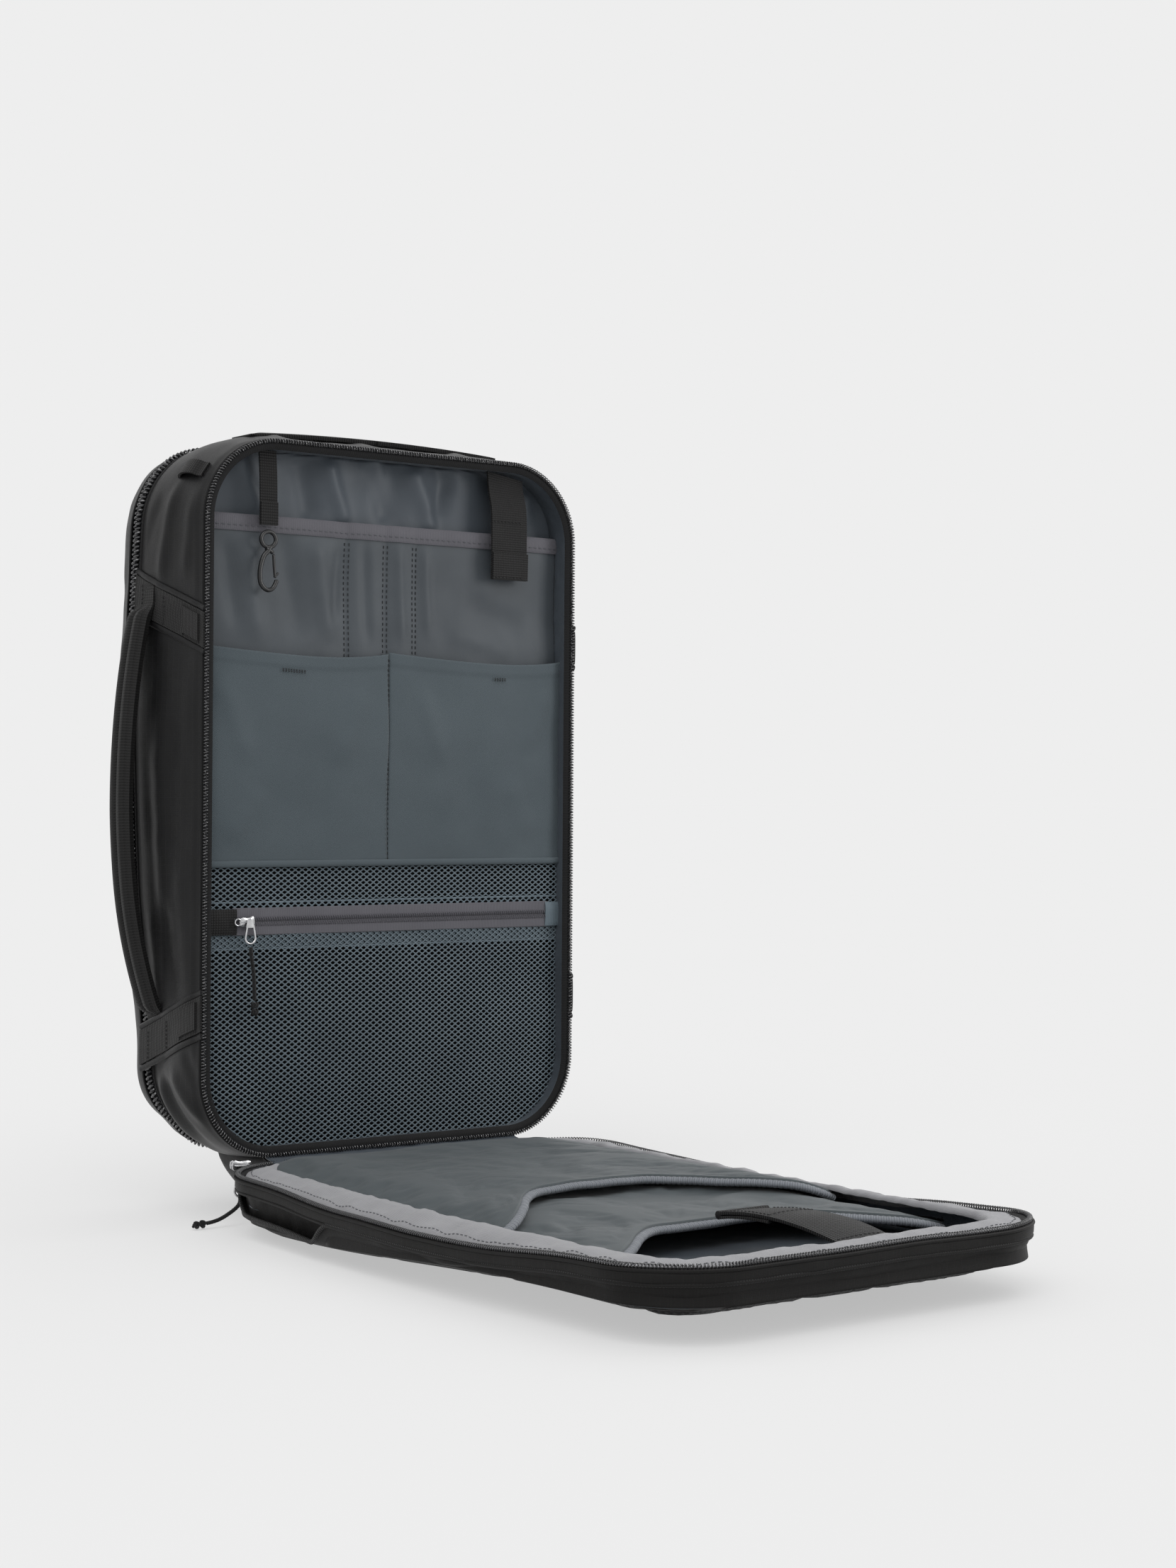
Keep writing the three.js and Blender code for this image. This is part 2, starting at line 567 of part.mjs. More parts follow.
const SLEEVE_BINDING = 6;
const SLEEVE_CORNER = 42;
function sleeve(name, sideY, middleY, lowZ, thickness) {
  const cornerX = SLEEVE_HALF_WIDTH - SLEEVE_CORNER;
  const cornerY = SLEEVE_NEAR - SLEEVE_CORNER;
  const body = new THREE.Shape(scoopPoints(sideY, middleY, 0));
  body.lineTo(SLEEVE_HALF_WIDTH, cornerY);
  body.absarc(cornerX, cornerY, SLEEVE_CORNER, 0, Math.PI / 2);
  body.absarc(-cornerX, cornerY, SLEEVE_CORNER, Math.PI / 2, Math.PI);
  place(name, lyingPlate(body, lowZ, thickness), SLATE_PADDED);
  const rim = new THREE.Shape([
    ...scoopPoints(sideY, middleY, -GAP - 0.1),
    ...scoopPoints(sideY, middleY, -SLEEVE_BINDING).reverse(),
  ]);
  place(`${name}_binding`, lyingPlate(rim, lowZ - 0.4, thickness + 0.8), GREY_TAPE);
}

sleeve('laptop_sleeve', FACE_Y - 396, FACE_Y - 334, LAPTOP_SLEEVE_Z, 3);
sleeve('tablet_sleeve', FACE_Y - 300, FACE_Y - 218, TABLET_SLEEVE_Z, 2.5);

const LAPTOP_STRAP_X = 14;
place('laptop_strap', strap([
  [LAPTOP_STRAP_X, -512, 37.6], [LAPTOP_STRAP_X, -494, 40], [LAPTOP_STRAP_X, -470, 43],
  [LAPTOP_STRAP_X, -445, 44.2], [LAPTOP_STRAP_X, -420, 43.6], [LAPTOP_STRAP_X, -392, 41.4],
], [1, 0, 0], 38, 2), BLACK_WEBBING);

// Main compartment panel: a dished cover that unzips and folds down behind the bag

const PANEL_FACE = BACK_Y + PANEL_DEPTH - 6;
const PANEL_RIM = BACK_Y + 0.5 + ZIP_DEPTH + GAP;
const PANEL_SHOULDER = BACK_Y + 20;
place('main_panel', loft([
  standingLoop(34, PANEL_FACE - WALL, 34),
  standingLoop(18, PANEL_FACE - 7),
  standingLoop(6, PANEL_SHOULDER),
  standingLoop(3, PANEL_RIM),
  standingLoop(0, PANEL_RIM),
  standingLoop(3, PANEL_SHOULDER),
  standingLoop(15, PANEL_FACE - 3.5),
  standingLoop(32, PANEL_FACE, 36),
]), BLACK_FABRIC);
place('main_panel_zip', standingRing(0, ZIP_WIDTH, BACK_Y + 0.5, BACK_Y + 0.5 + ZIP_DEPTH), ZIP_BLACK);

function pocketLoop(inset, y) {
  const low = new THREE.Vector2(inset - 104, 92 + inset);
  const high = new THREE.Vector2(104 - inset, 410 - inset);
  return roundedOutline(low, high, 34 - inset).map((p) => new THREE.Vector3(p.x, y, p.y));
}

place('front_pocket', loft([
  pocketLoop(0, PANEL_FACE + GAP),
  pocketLoop(2, PANEL_FACE + 3.5),
  pocketLoop(9, BACK_Y + PANEL_DEPTH),
]), BLACK_FABRIC);

// Main compartment slider on the right-hand straight of its zip

const MAIN_SLIDER_Z = 340;
const MAIN_SLIDER_X = HALF_WIDTH + GAP;
place('main_slider', block(
  [MAIN_SLIDER_X, BACK_Y - 3.5, MAIN_SLIDER_Z - 5.5],
  [MAIN_SLIDER_X + 4, BACK_Y + 3.5, MAIN_SLIDER_Z + 5.5],
), STEEL);
place(
  'main_slider_pull',
  pullTab(FACE_PULL_LENGTH, 9, 1.6).rotateZ(Math.PI / 2)
    .translate(MAIN_SLIDER_X + 4 + GAP + 0.8, BACK_Y, MAIN_SLIDER_Z + 2),
  STEEL,
);

export default backpack;
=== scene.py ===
"""Travel backpack, standing open: the looks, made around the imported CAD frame.

Lengths are worked out in millimetres from the frame's boxes, and make() turns them into metres.
"""
import json
import math

import bpy
import numpy as np
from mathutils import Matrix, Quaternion, Vector, noise

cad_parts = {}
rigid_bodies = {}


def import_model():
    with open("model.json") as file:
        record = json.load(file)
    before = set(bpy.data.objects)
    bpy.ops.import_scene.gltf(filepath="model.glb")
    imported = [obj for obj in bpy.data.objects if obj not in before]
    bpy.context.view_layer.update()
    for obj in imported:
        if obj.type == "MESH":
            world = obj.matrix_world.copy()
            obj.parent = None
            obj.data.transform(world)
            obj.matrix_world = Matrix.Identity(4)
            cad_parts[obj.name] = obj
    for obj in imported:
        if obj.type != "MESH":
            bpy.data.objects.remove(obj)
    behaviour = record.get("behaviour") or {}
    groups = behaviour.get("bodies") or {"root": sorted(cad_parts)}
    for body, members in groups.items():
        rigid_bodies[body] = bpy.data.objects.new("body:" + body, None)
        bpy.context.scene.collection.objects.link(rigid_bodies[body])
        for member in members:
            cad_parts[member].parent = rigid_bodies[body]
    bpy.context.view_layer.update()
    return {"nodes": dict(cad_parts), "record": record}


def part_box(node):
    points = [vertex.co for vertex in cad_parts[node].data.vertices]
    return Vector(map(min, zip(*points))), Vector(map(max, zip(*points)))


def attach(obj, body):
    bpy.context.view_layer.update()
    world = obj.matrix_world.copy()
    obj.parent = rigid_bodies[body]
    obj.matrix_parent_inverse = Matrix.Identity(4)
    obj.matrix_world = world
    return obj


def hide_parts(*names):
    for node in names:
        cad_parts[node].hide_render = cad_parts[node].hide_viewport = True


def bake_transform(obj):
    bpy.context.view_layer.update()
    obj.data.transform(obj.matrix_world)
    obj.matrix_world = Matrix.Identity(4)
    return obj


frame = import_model()

FOCAL_LENGTH = 59.7  # millimetres, for the photo's view
MM = 0.001
SIM_SCALE = 10.0  # cloth is simulated ten times its size, where the solver is steady


# ---------------------------------------------------------------- camera, lights, floor

CAMERA_PLACE = Vector((-0.976, -1.544, 0.285))
CAMERA_YAW, CAMERA_PITCH, CAMERA_ROLL = math.radians(-37.204), math.radians(-0.235), math.radians(-0.407)


def camera():
    lens = bpy.data.cameras.new("camera")
    lens.lens = FOCAL_LENGTH
    lens.sensor_fit = "VERTICAL"
    lens.sensor_height = 36
    eye = bpy.data.objects.new("camera", lens)
    eye.location = CAMERA_PLACE
    ahead = Vector((-math.sin(CAMERA_YAW) * math.cos(CAMERA_PITCH),
                    math.cos(CAMERA_YAW) * math.cos(CAMERA_PITCH), -math.sin(CAMERA_PITCH)))
    eye.rotation_mode = "QUATERNION"
    eye.rotation_quaternion = ahead.to_track_quat("-Z", "Y")
    eye.rotation_quaternion = eye.rotation_quaternion @ Quaternion((0, 0, 1), -CAMERA_ROLL)
    bpy.context.scene.collection.objects.link(eye)
    bpy.context.scene.camera = eye


def sun(name, towards, strength, spread):
    """A soft distant light that shines from the direction `towards`; spread is its angle in degrees."""
    light = bpy.data.lights.new(name, "SUN")
    light.energy = strength
    light.angle = math.radians(spread)
    lamp = bpy.data.objects.new(name, light)
    lamp.rotation_mode = "QUATERNION"
    lamp.rotation_quaternion = Vector(towards).to_track_quat("Z", "Y")
    bpy.context.scene.collection.objects.link(lamp)


PALE = 0.855
KEY_STRENGTH, RIM_STRENGTH = 1.15, 0.35
SOFTBOX_SIZE, SOFTBOX_POWER = 0.45, 3.4
SOFTBOX_PLACE, SOFTBOX_AIM = Vector((0.72, -0.75, 0.62)), Vector((0.16, 0, 0.36))


def softbox():
    """A near soft light from the front right. It lights the bag and leaves the pale floor alone."""
    light = bpy.data.lights.new("softbox", "AREA")
    light.energy = SOFTBOX_POWER
    light.size = SOFTBOX_SIZE
    lamp = bpy.data.objects.new("softbox", light)
    lamp.location = SOFTBOX_PLACE
    lamp.rotation_mode = "QUATERNION"
    lamp.rotation_quaternion = (SOFTBOX_PLACE - SOFTBOX_AIM).to_track_quat("Z", "Y")
    bpy.context.scene.collection.objects.link(lamp)
    lit = bpy.data.collections.new("lit")
    for piece in bpy.context.scene.objects:
        if piece.type == "MESH" and piece.name != "floor":
            lit.objects.link(piece)
    lamp.light_linking.receiver_collection = lit


def studio():
    world = bpy.data.worlds.new("studio")
    world.use_nodes = True
    world.node_tree.nodes["Background"].inputs["Color"].default_value = (PALE, PALE, PALE, 1)
    bpy.context.scene.world = world
    bpy.context.scene.view_settings.view_transform = "Standard"
    sun("key", (-0.55, -0.45, 0.9), KEY_STRENGTH, 50)
    sun("rim", (0.8, 0.2, 0.7), RIM_STRENGTH, 60)


# ---------------------------------------------------------------- shader building blocks

def srgb(red, green, blue):
    """A linear colour from 0-255 values."""
    return tuple(((c / 255 + 0.055) / 1.055) ** 2.4 if c > 10 else c / 3295 for c in (red, green,
                                                                                      blue)) + (1,)


class Shader:
    """One procedural material, built node by node."""

    def __init__(self, name, roughness=0.6, specular=0.5, sheen=0.0, metallic=0.0, coat=0.0):
        self.material = bpy.data.materials.new(name)
        self.material.use_nodes = True
        self.tree = self.material.node_tree
        self.surface = self.tree.nodes["Principled BSDF"]
        self.surface.inputs["Roughness"].default_value = roughness
        self.surface.inputs["Specular IOR Level"].default_value = specular
        self.surface.inputs["Sheen Weight"].default_value = sheen
        self.surface.inputs["Sheen Roughness"].default_value = 0.45
        self.surface.inputs["Metallic"].default_value = metallic
        self.surface.inputs["Coat Weight"].default_value = coat

    def node(self, kind, settings=(), **inputs):
        made = self.tree.nodes.new(kind)
        for key, value in dict(settings).items():
            setattr(made, key, value)
        for key, value in inputs.items():
            self.feed(made.inputs[key.replace("_", " ")], value)
        return made

    def feed(self, socket, value):
        if isinstance(value, bpy.types.NodeSocket):
            self.tree.links.new(value, socket)
        else:
            socket.default_value = value

    def math(self, operation, first, second=0.0, third=0.0):
        made = self.tree.nodes.new("ShaderNodeMath")
        made.operation = operation
        for socket, value in zip(made.inputs, (first, second, third)):
            self.feed(socket, value)
        return made.outputs[0]

    def cloth_axes(self):
        """The two distances along the cloth, in millimetres."""
        uv = self.node("ShaderNodeUVMap", {"uv_map": "cloth"})
        split = self.node("ShaderNodeSeparateXYZ", Vector=uv.outputs["UV"])
        return self.math("MULTIPLY", split.outputs["X"], 1 / MM), self.math("MULTIPLY", split.outputs["Y"],
                                                                            1 / MM)

    def wave(self, distance, pitch):
        """A sine wave from 0 to 1 with that pitch in millimetres."""
        turn = self.math("MULTIPLY", distance, 2 * math.pi / pitch)
        return self.math("MULTIPLY_ADD", self.math("SINE", turn), 0.5, 0.5)

    def cloud(self, size, detail=3.0, roughness=0.55):
        """Soft noise from 0 to 1; size is that of its patches, in millimetres."""
        where = self.node("ShaderNodeTexCoord").outputs["Object"]
        made = self.node("ShaderNodeTexNoise", Vector=where, Scale=1 / (size * MM), Detail=detail,
                         Roughness=roughness)
        return made.outputs["Fac"]

    def mix(self, factor, first, second):
        made = self.tree.nodes.new("ShaderNodeMix")
        made.data_type = "RGBA"
        self.feed(made.inputs["Factor"], factor)
        for socket, value in zip([s for s in made.inputs if s.type == "RGBA"], (first, second)):
            self.feed(socket, value)
        return [s for s in made.outputs if s.type == "RGBA"][0]

    def spread(self, value, low, high):
        """0-1 stretched to low-high."""
        return self.math("MULTIPLY_ADD", value, high - low, low)

    def finish(self, colour, height=None, depth=0.1, roughness=None):
        """Colour, bump (height times depth millimetres) and roughness go to the surface."""
        self.feed(self.surface.inputs["Base Color"], colour)
        if roughness is not None:
            self.feed(self.surface.inputs["Roughness"], roughness)
        if height is not None:
            bump = self.node("ShaderNodeBump", Height=height, Distance=depth * MM, Strength=1.0)
            self.feed(self.surface.inputs["Normal"], bump.outputs["Normal"])
        return self.material


def plain_weave(shader, pitch):
    along, across = shader.cloth_axes()
    return shader.math("MULTIPLY", shader.wave(along, pitch), shader.wave(across, pitch))


def twill_weave(shader, pitch):
    along, across = shader.cloth_axes()
    return shader.wave(shader.math("ADD", along, across), pitch)


def rib_weave(shader, pitch):
    along, _ = shader.cloth_axes()
    return shader.wave(along, pitch)


def ripstop_weave(shader, pitch):
    """A fine weave with a raised grid every eight threads."""
    along, across = shader.cloth_axes()
    fine = shader.math("MULTIPLY", shader.wave(along, pitch), shader.wave(across, pitch))
    grid = shader.math("MAXIMUM", shader.wave(along, 8 * pitch), shader.wave(across, 8 * pitch))
    raised = shader.math("GREATER_THAN", grid, 0.97)
    return shader.math("MULTIPLY_ADD", raised, 0.8, fine)


def belt_weave(shader, pitch):
    """Webbing: ribs across, and finer threads along."""
    along, across = shader.cloth_axes()
    ribs = shader.wave(along, pitch)
    threads = shader.wave(across, pitch * 0.9)
    return shader.math("MULTIPLY", shader.math("POWER", ribs, 0.6), shader.math("MULTIPLY_ADD", threads, 0.5,
                                                                                0.5))


def cloth(name, dark, light, weave, pitch, depth=0.12, roughness=0.6, specular=0.4, sheen=0.1, patch=40,
          crinkle=0.0):
    """A woven material: a weave height, painted shade in the weave's dips, a soft change of colour and of
    roughness, and fine crinkles.
    """
    shader = Shader(name, roughness, specular, sheen)
    height = weave(shader, pitch)
    shade = shader.mix(shader.cloud(patch), dark, light)
    # Painted shade: the weave's low threads are darkened towards 55% of the dark tone, and the raised threads
    # keep the patchy tone.
    colour = shader.mix(shader.spread(height, 0.45, 0.0), shade, tuple(c * 0.55 for c in dark[:3]) + (1,))
    if crinkle:
        height = shader.math("MULTIPLY_ADD", shader.cloud(patch * 0.35, 5.0), crinkle / depth, height)
    rough = shader.spread(shader.cloud(patch * 0.6), roughness - 0.07, roughness + 0.07)
    return shader.finish(colour, height, depth, rough)


def moulded(name, dark, light, roughness, specular=0.5):
    """Moulded nylon: a faint grain."""
    shader = Shader(name, roughness, specular)
    grain = shader.cloud(0.5, 4.0)
    colour = shader.mix(shader.cloud(6), dark, light)
    return shader.finish(colour, grain, 0.05, shader.spread(grain, roughness - 0.08, roughness + 0.08))


def plated(name, dark, light, roughness):
    """Nickel-plated metal: soft stains and fine scratches."""
    shader = Shader(name, roughness, metallic=1.0)
    stain = shader.cloud(4, 4.0)
    colour = shader.mix(stain, dark, light)
    return shader.finish(colour, shader.cloud(0.35, 2.0), 0.02,
                         shader.spread(stain, roughness - 0.1, roughness + 0.12))


SHELL = cloth("shell cloth", srgb(12, 12, 13), srgb(22, 22, 23), ripstop_weave, 0.7, 0.06, 0.38, 0.17, 0.01,
              60, 0.25)
LID_SHELL = cloth("lid cloth", srgb(17, 16, 16), srgb(28, 27, 26), ripstop_weave, 0.7, 0.06, 0.55, 0.14,
                  0.02, 50, 0.3)
BELT = cloth("webbing", srgb(15, 15, 15), srgb(27, 26, 26), belt_weave, 1.9, 0.5, 0.62, 0.22, 0.05, 30)
PULL_BELT = cloth("pull webbing", srgb(17, 17, 17), srgb(29, 28, 28), belt_weave, 1.6, 0.45, 0.66, 0.25,
                  0.06, 20)
BLACK_TAPE = cloth("zip tape", srgb(12, 12, 13), srgb(20, 20, 21), rib_weave, 0.9, 0.15, 0.7, 0.2, 0.05, 25)
TEETH = moulded("zip coil", srgb(24, 24, 26), srgb(42, 42, 45), 0.2, 1.0)
LINING = cloth("slate lining", srgb(60, 66, 73), srgb(82, 89, 96), plain_weave, 0.5, 0.03, 0.5, 0.3, 0.04,
               60, 0.35)
POCKET = cloth("pocket lining", srgb(58, 63, 68), srgb(80, 86, 91), plain_weave, 0.5, 0.03, 0.52, 0.28, 0.04,
               60, 0.25)
PADDED = cloth("padded lining", srgb(62, 69, 72), srgb(76, 83, 86), plain_weave, 0.8, 0.05, 0.6, 0.28, 0.1,
               60, 0.3)
STRETCH = cloth("stretch cloth", srgb(66, 75, 80), srgb(80, 89, 94), twill_weave, 1.1, 0.1, 0.75, 0.22, 0.12,
                60)
MESH = cloth("knitted mesh", srgb(78, 90, 98), srgb(102, 115, 123), rib_weave, 0.9, 0.1, 0.6, 0.35, 0.1, 25)
# Painted shade: a near-black cloth for the sheets that stand in for the dark depth behind the mesh pockets
# and inside the stow slots.
MESH_SHADE = cloth("painted shade cloth", srgb(8, 9, 10), srgb(14, 15, 17), plain_weave, 0.5, 0.03, 0.8, 0.1, 0.0,
                   40)
GREY_TAPE = cloth("grey tape", srgb(78, 77, 83), srgb(96, 95, 101), rib_weave, 0.8, 0.1, 0.65, 0.3, 0.12, 30)
BINDING = cloth("grey binding", srgb(100, 104, 110), srgb(122, 126, 132), rib_weave, 1.5, 0.3, 0.7, 0.3,
                0.15, 25)
FACING = cloth("pale facing", srgb(132, 132, 135), srgb(158, 158, 161), plain_weave, 0.9, 0.1, 0.75, 0.25,
               0.2, 25, 0.4)
GREY_THREAD = moulded("grey thread", srgb(70, 72, 76), srgb(90, 92, 96), 0.6, 0.3)
BLACK_THREAD = moulded("black thread", srgb(16, 16, 17), srgb(30, 30, 31), 0.55, 0.3)
STEEL = plated("nickel", (0.42, 0.42, 0.43, 1), (0.68, 0.68, 0.69, 1), 0.26)
PLASTIC = moulded("black plastic", srgb(14, 14, 15), srgb(26, 26, 27), 0.32)
BACK_MESH = cloth("spacer mesh", srgb(16, 16, 17), srgb(28, 28, 29), plain_weave, 3.0, 0.5, 0.7, 0.2, 0.05,
                  40)
CORD = cloth("braided cord", srgb(14, 14, 15), srgb(30, 30, 31), twill_weave, 1.2, 0.35, 0.72, 0.25, 0.1, 8)


def floor():
    """The pale ground; its tone matches the background under the studio lights."""
    shader = Shader("floor", 0.9, 0.0)
    glow, tone = 0.55, 0.70
    shade = tone * (1 - glow)
    speck = shader.mix(shader.cloud(400, 2.0), (shade, shade, shade, 1),
                       (shade * 1.01, shade * 1.01, shade * 1.01, 1))
    shader.surface.inputs["Emission Color"].default_value = (PALE, PALE, PALE, 1)
    shader.surface.inputs["Emission Strength"].default_value = glow
    finish = shader.finish(speck)
    half = 60000
    ground = make("floor", [(-half, -half, 0), (half, -half, 0), (half, half, 0), (-half, half, 0)],
                  [(0, 1, 2, 3)],
                  finish)


# ---------------------------------------------------------------- mesh building blocks

SMOOTH = 180  # a crease angle that leaves no sharp edges


def corners(node):
    """Lowest and highest corner of a CAD node, in millimetres."""
    low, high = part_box(node)
    return np.array(low) / MM, np.array(high) / MM


def make(name, points, faces, finish, uv=None, crease=50):
    """A mesh from points in millimetres. uv has a pair, in millimetres, for each corner of each face."""
    mesh = bpy.data.meshes.new(name)
    mesh.from_pydata((np.asarray(points, float) * MM).tolist(), [],
                     [tuple(f) for f in np.asarray(faces).tolist()]
                     if isinstance(faces, np.ndarray) else faces)
    layer = mesh.uv_layers.new(name="cloth")
    if uv is not None:
        layer.data.foreach_set("uv", (np.asarray(uv, float) * MM).ravel())
    mesh.shade_smooth()
    mesh.set_sharp_from_angle(angle=math.radians(crease))
    mesh.materials.append(finish)
    piece = bpy.data.objects.new(name, mesh)
    bpy.context.scene.collection.objects.link(piece)
    return piece


class Bits:
    """Many small bodies that become one mesh."""

    def __init__(self):
        self.points, self.faces, self.uv, self.count = [], [], [], 0

    def add(self, points, faces, uv=None):
        faces = np.asarray(faces)
        self.points.append(np.asarray(points, float).reshape(-1, 3))
        self.faces.append(faces + self.count)
        self.uv.append(np.zeros((faces.size, 2)) if uv is None else np.asarray(uv, float).reshape(-1, 2))
        self.count += len(self.points[-1])
        return self

    def make(self, name, finish, crease=50):
        faces = [tuple(f) for block in self.faces for f in block.tolist()]
        return make(name, np.concatenate(self.points), faces, finish, np.concatenate(self.uv), crease)


def unit(vectors):
    return vectors / np.maximum(np.linalg.norm(vectors, axis=-1, keepdims=True), 1e-9)


def steps_along(grid, axis, closed=False):
    return np.roll(grid, -1, axis) - np.roll(grid, 1, axis) if closed else np.gradient(grid, axis=axis)


def normals(grid, closed=False):
    return unit(np.cross(steps_along(grid, 0, closed), steps_along(grid, 1)))


def run_lengths(line):
    return np.concatenate([[0], np.cumsum(np.linalg.norm(np.diff(line, axis=0), axis=1))])


def slab(grid, thickness, closed=False):
    """A cloth sheet with that face, thickness deep behind it: points, faces and uvs. closed joins its first
    and last rows."""
    grid = np.asarray(grid, float)
    rows, cols = grid.shape[:2]
    depth = np.broadcast_to(np.asarray(thickness, float), (rows, cols))[..., None]
    back = grid - normals(grid, closed) * depth
    points = np.concatenate([grid.reshape(-1, 3), back.reshape(-1, 3)])
    middle = np.concatenate([grid, grid[:1]]) if closed else grid
    u = run_lengths(middle[:, cols // 2])
    v = run_lengths(grid[rows // 2])
    i, j = np.meshgrid(np.arange(rows if closed else rows - 1), np.arange(cols - 1), indexing="ij")
    i, j = i.ravel(), j.ravel()
    after = (i + 1) % rows
    a, b, c, d = i * cols + j, after * cols + j, after * cols + j + 1, i * cols + j + 1
    under = rows * cols
    ua, ub, va, vb = u[i], u[i + 1], v[j], v[j + 1]
    front_uv = np.stack([ua, va, ub, va, ub, vb, ua, vb], 1)
    back_uv = np.stack([ua, va, ua, vb, ub, vb, ub, va], 1)
    faces = [np.stack([a, b, c, d], 1), np.stack([a, d, c, b], 1) + under]
    uvs = [front_uv, back_uv]
    for edge, flip in ((0, False), (cols - 1, True)):
        i = np.arange(rows if closed else rows - 1)
        p, q = i * cols + edge, ((i + 1) % rows) * cols + edge
        strip = np.stack([p, p + under, q + under, q], 1)
        faces.append(strip[:, ::-1] if flip else strip)
        side = np.full(len(i), v[edge])
        strip_uv = np.stack([u[i], side, u[i], side + 1, u[i + 1], side + 1, u[i + 1], side], 1)
        uvs.append(strip_uv.reshape(-1, 4, 2)[:, ::-1].reshape(-1, 8) if flip else strip_uv)
    if not closed:
        for edge, flip in ((0, False), (rows - 1, True)):
            j = np.arange(cols - 1)
            p, q = edge * cols + j, edge * cols + j + 1
            strip = np.stack([p, q, q + under, p + under], 1)
            faces.append(strip[:, ::-1] if flip else strip)
            side = np.full(len(j), u[edge])
            strip_uv = np.stack([side, v[j], side, v[j + 1], side + 1, v[j + 1], side + 1, v[j]], 1)
            uvs.append(strip_uv.reshape(-1, 4, 2)[:, ::-1].reshape(-1, 8) if flip else strip_uv)
    return points, np.concatenate(faces), np.concatenate(uvs).reshape(-1, 2)


def sheet_piece(name, grid, thickness, finish, closed=False, crease=50):
    points, faces, uv = slab(grid, thickness, closed)
    return make(name, points, faces, finish, uv, crease)


def tube(path, width, height=None, sides=6, closed=False, up=None):
    """An oval tube along a path: width is across, height is along up (one vector, or one for each point)."""
    path = np.asarray(path, float)
    height = width if height is None else height
    ahead = unit(steps_along(path, 0, closed))
    if up is None:
        up = np.zeros_like(path)
        start = np.array((0.0, 0.0, 1.0)) if abs(ahead[0][2]) < 0.9 else np.array((1.0, 0.0, 0.0))
        for k, direction in enumerate(ahead):
            start = start - direction * start.dot(direction)
            start = start / np.linalg.norm(start)
            up[k] = start
    up = np.broadcast_to(np.asarray(up, float), path.shape)
    across = unit(np.cross(ahead, up))
    above = unit(np.cross(across, ahead))
    turn = np.arange(sides) * 2 * math.pi / sides
    wide = np.broadcast_to(np.asarray(width, float), (len(path),))[:, None, None] / 2
    tall = np.broadcast_to(np.asarray(height, float), (len(path),))[:, None, None] / 2
    points = (path[:, None] + across[:, None] * np.cos(turn)[None, :, None] * wide
              + above[:, None] * np.sin(turn)[None, :, None] * tall).reshape(-1, 3)
    count = len(path)
    i, j = np.meshgrid(np.arange(count if closed else count - 1), np.arange(sides), indexing="ij")
    i, j = i.ravel(), j.ravel()
    after, beside = (i + 1) % count, (j + 1) % sides
    faces = np.stack([i * sides + j, i * sides + beside, after * sides + beside, after * sides + j], 1)
    lengths = run_lengths(np.concatenate([path, path[:1]]))
    round_step = math.pi * float(np.mean(wide) + np.mean(tall)) / sides
    uv = np.stack([lengths[i], j * round_step, lengths[i], (j + 1) * round_step,
                   lengths[i + 1], (j + 1) * round_step, lengths[i + 1], j * round_step], 1).reshape(-1, 2)
    if not closed:
        points = np.concatenate([points, path[:1] - ahead[:1] * tall[0] * 0.5,
                                 path[-1:] + ahead[-1:] * tall[-1] * 0.5])
        j = np.arange(sides)
        beside = (j + 1) % sides
        low, high, last = count * sides, count * sides + 1, (count - 1) * sides
        caps = np.concatenate([np.stack([beside, j, np.full(sides, low), np.full(sides, low)], 1),
                               np.stack([last + j, last + beside, np.full(sides, high),
                                         np.full(sides, high)], 1)])
        return points, (faces, caps[:, :3]), uv
    return points, (faces, np.zeros((0, 3), int)), uv


def add_tube(bits, path, width, height=None, sides=6, closed=False, up=None):
    points, (faces, caps), uv = tube(path, width, height, sides, closed, up)
    start = bits.count
    bits.add(points, faces, uv)
    if len(caps):
        bits.faces.append(caps + start)
        bits.uv.append(np.zeros((caps.size, 2)))
    return bits


def tube_piece(name, path, width, finish, height=None, sides=8, closed=False, up=None):
    return add_tube(Bits(), path, width, height, sides, closed, up).make(name, finish)


def spaced(line, step=None, count=None, closed=False):
    """A path resampled to even steps."""
    line = np.asarray(line, float)
    if closed:
        line = np.concatenate([line, line[:1]])
    lengths = run_lengths(line)
    number = count or max(2, int(round(lengths[-1] / step)) + (0 if closed else 1))
    at = np.linspace(0, lengths[-1], number, endpoint=not closed)
    return np.stack([np.interp(at, lengths, line[:, k]) for k in range(line.shape[1])], 1)


def smooth_path(line, step):
    """A path through a few points, rounded by a spline and resampled."""
    line = np.asarray(line, float)
    padded = np.concatenate([2 * line[:1] - line[1:2], line, 2 * line[-1:] - line[-2:-1]])
    t = np.linspace(0, 1, 9)[:-1, None]
    parts = []
    for a, b, c, d in zip(padded, padded[1:], padded[2:], padded[3:]):
        parts.append(0.5 * (2 * b + (c - a) * t + (2 * a - 5 * b + 4 * c - d) * t ** 2
                            + (3 * b - a - 3 * c + d) * t ** 3))
    return spaced(np.concatenate([*parts, line[-1:]]), step)


def rounded(half_width, low, high, radius, step):
    """Even points round a rounded rectangle, anticlockwise from the middle of its lower side."""
    parts = [np.array([[0.0, low]])]
    for quarter in range(4):
        centre = ((half_width - radius) * (1, 1, -1, -1)[quarter],
                  (low + radius, high - radius, high - radius, low + radius)[quarter])
        angles = np.radians(np.linspace(-90, 0, 24) + 90 * quarter)
        parts.append(np.stack([centre[0] + radius * np.cos(angles), centre[1] + radius * np.sin(angles)], 1))
    return spaced(np.concatenate(parts), step, closed=True)


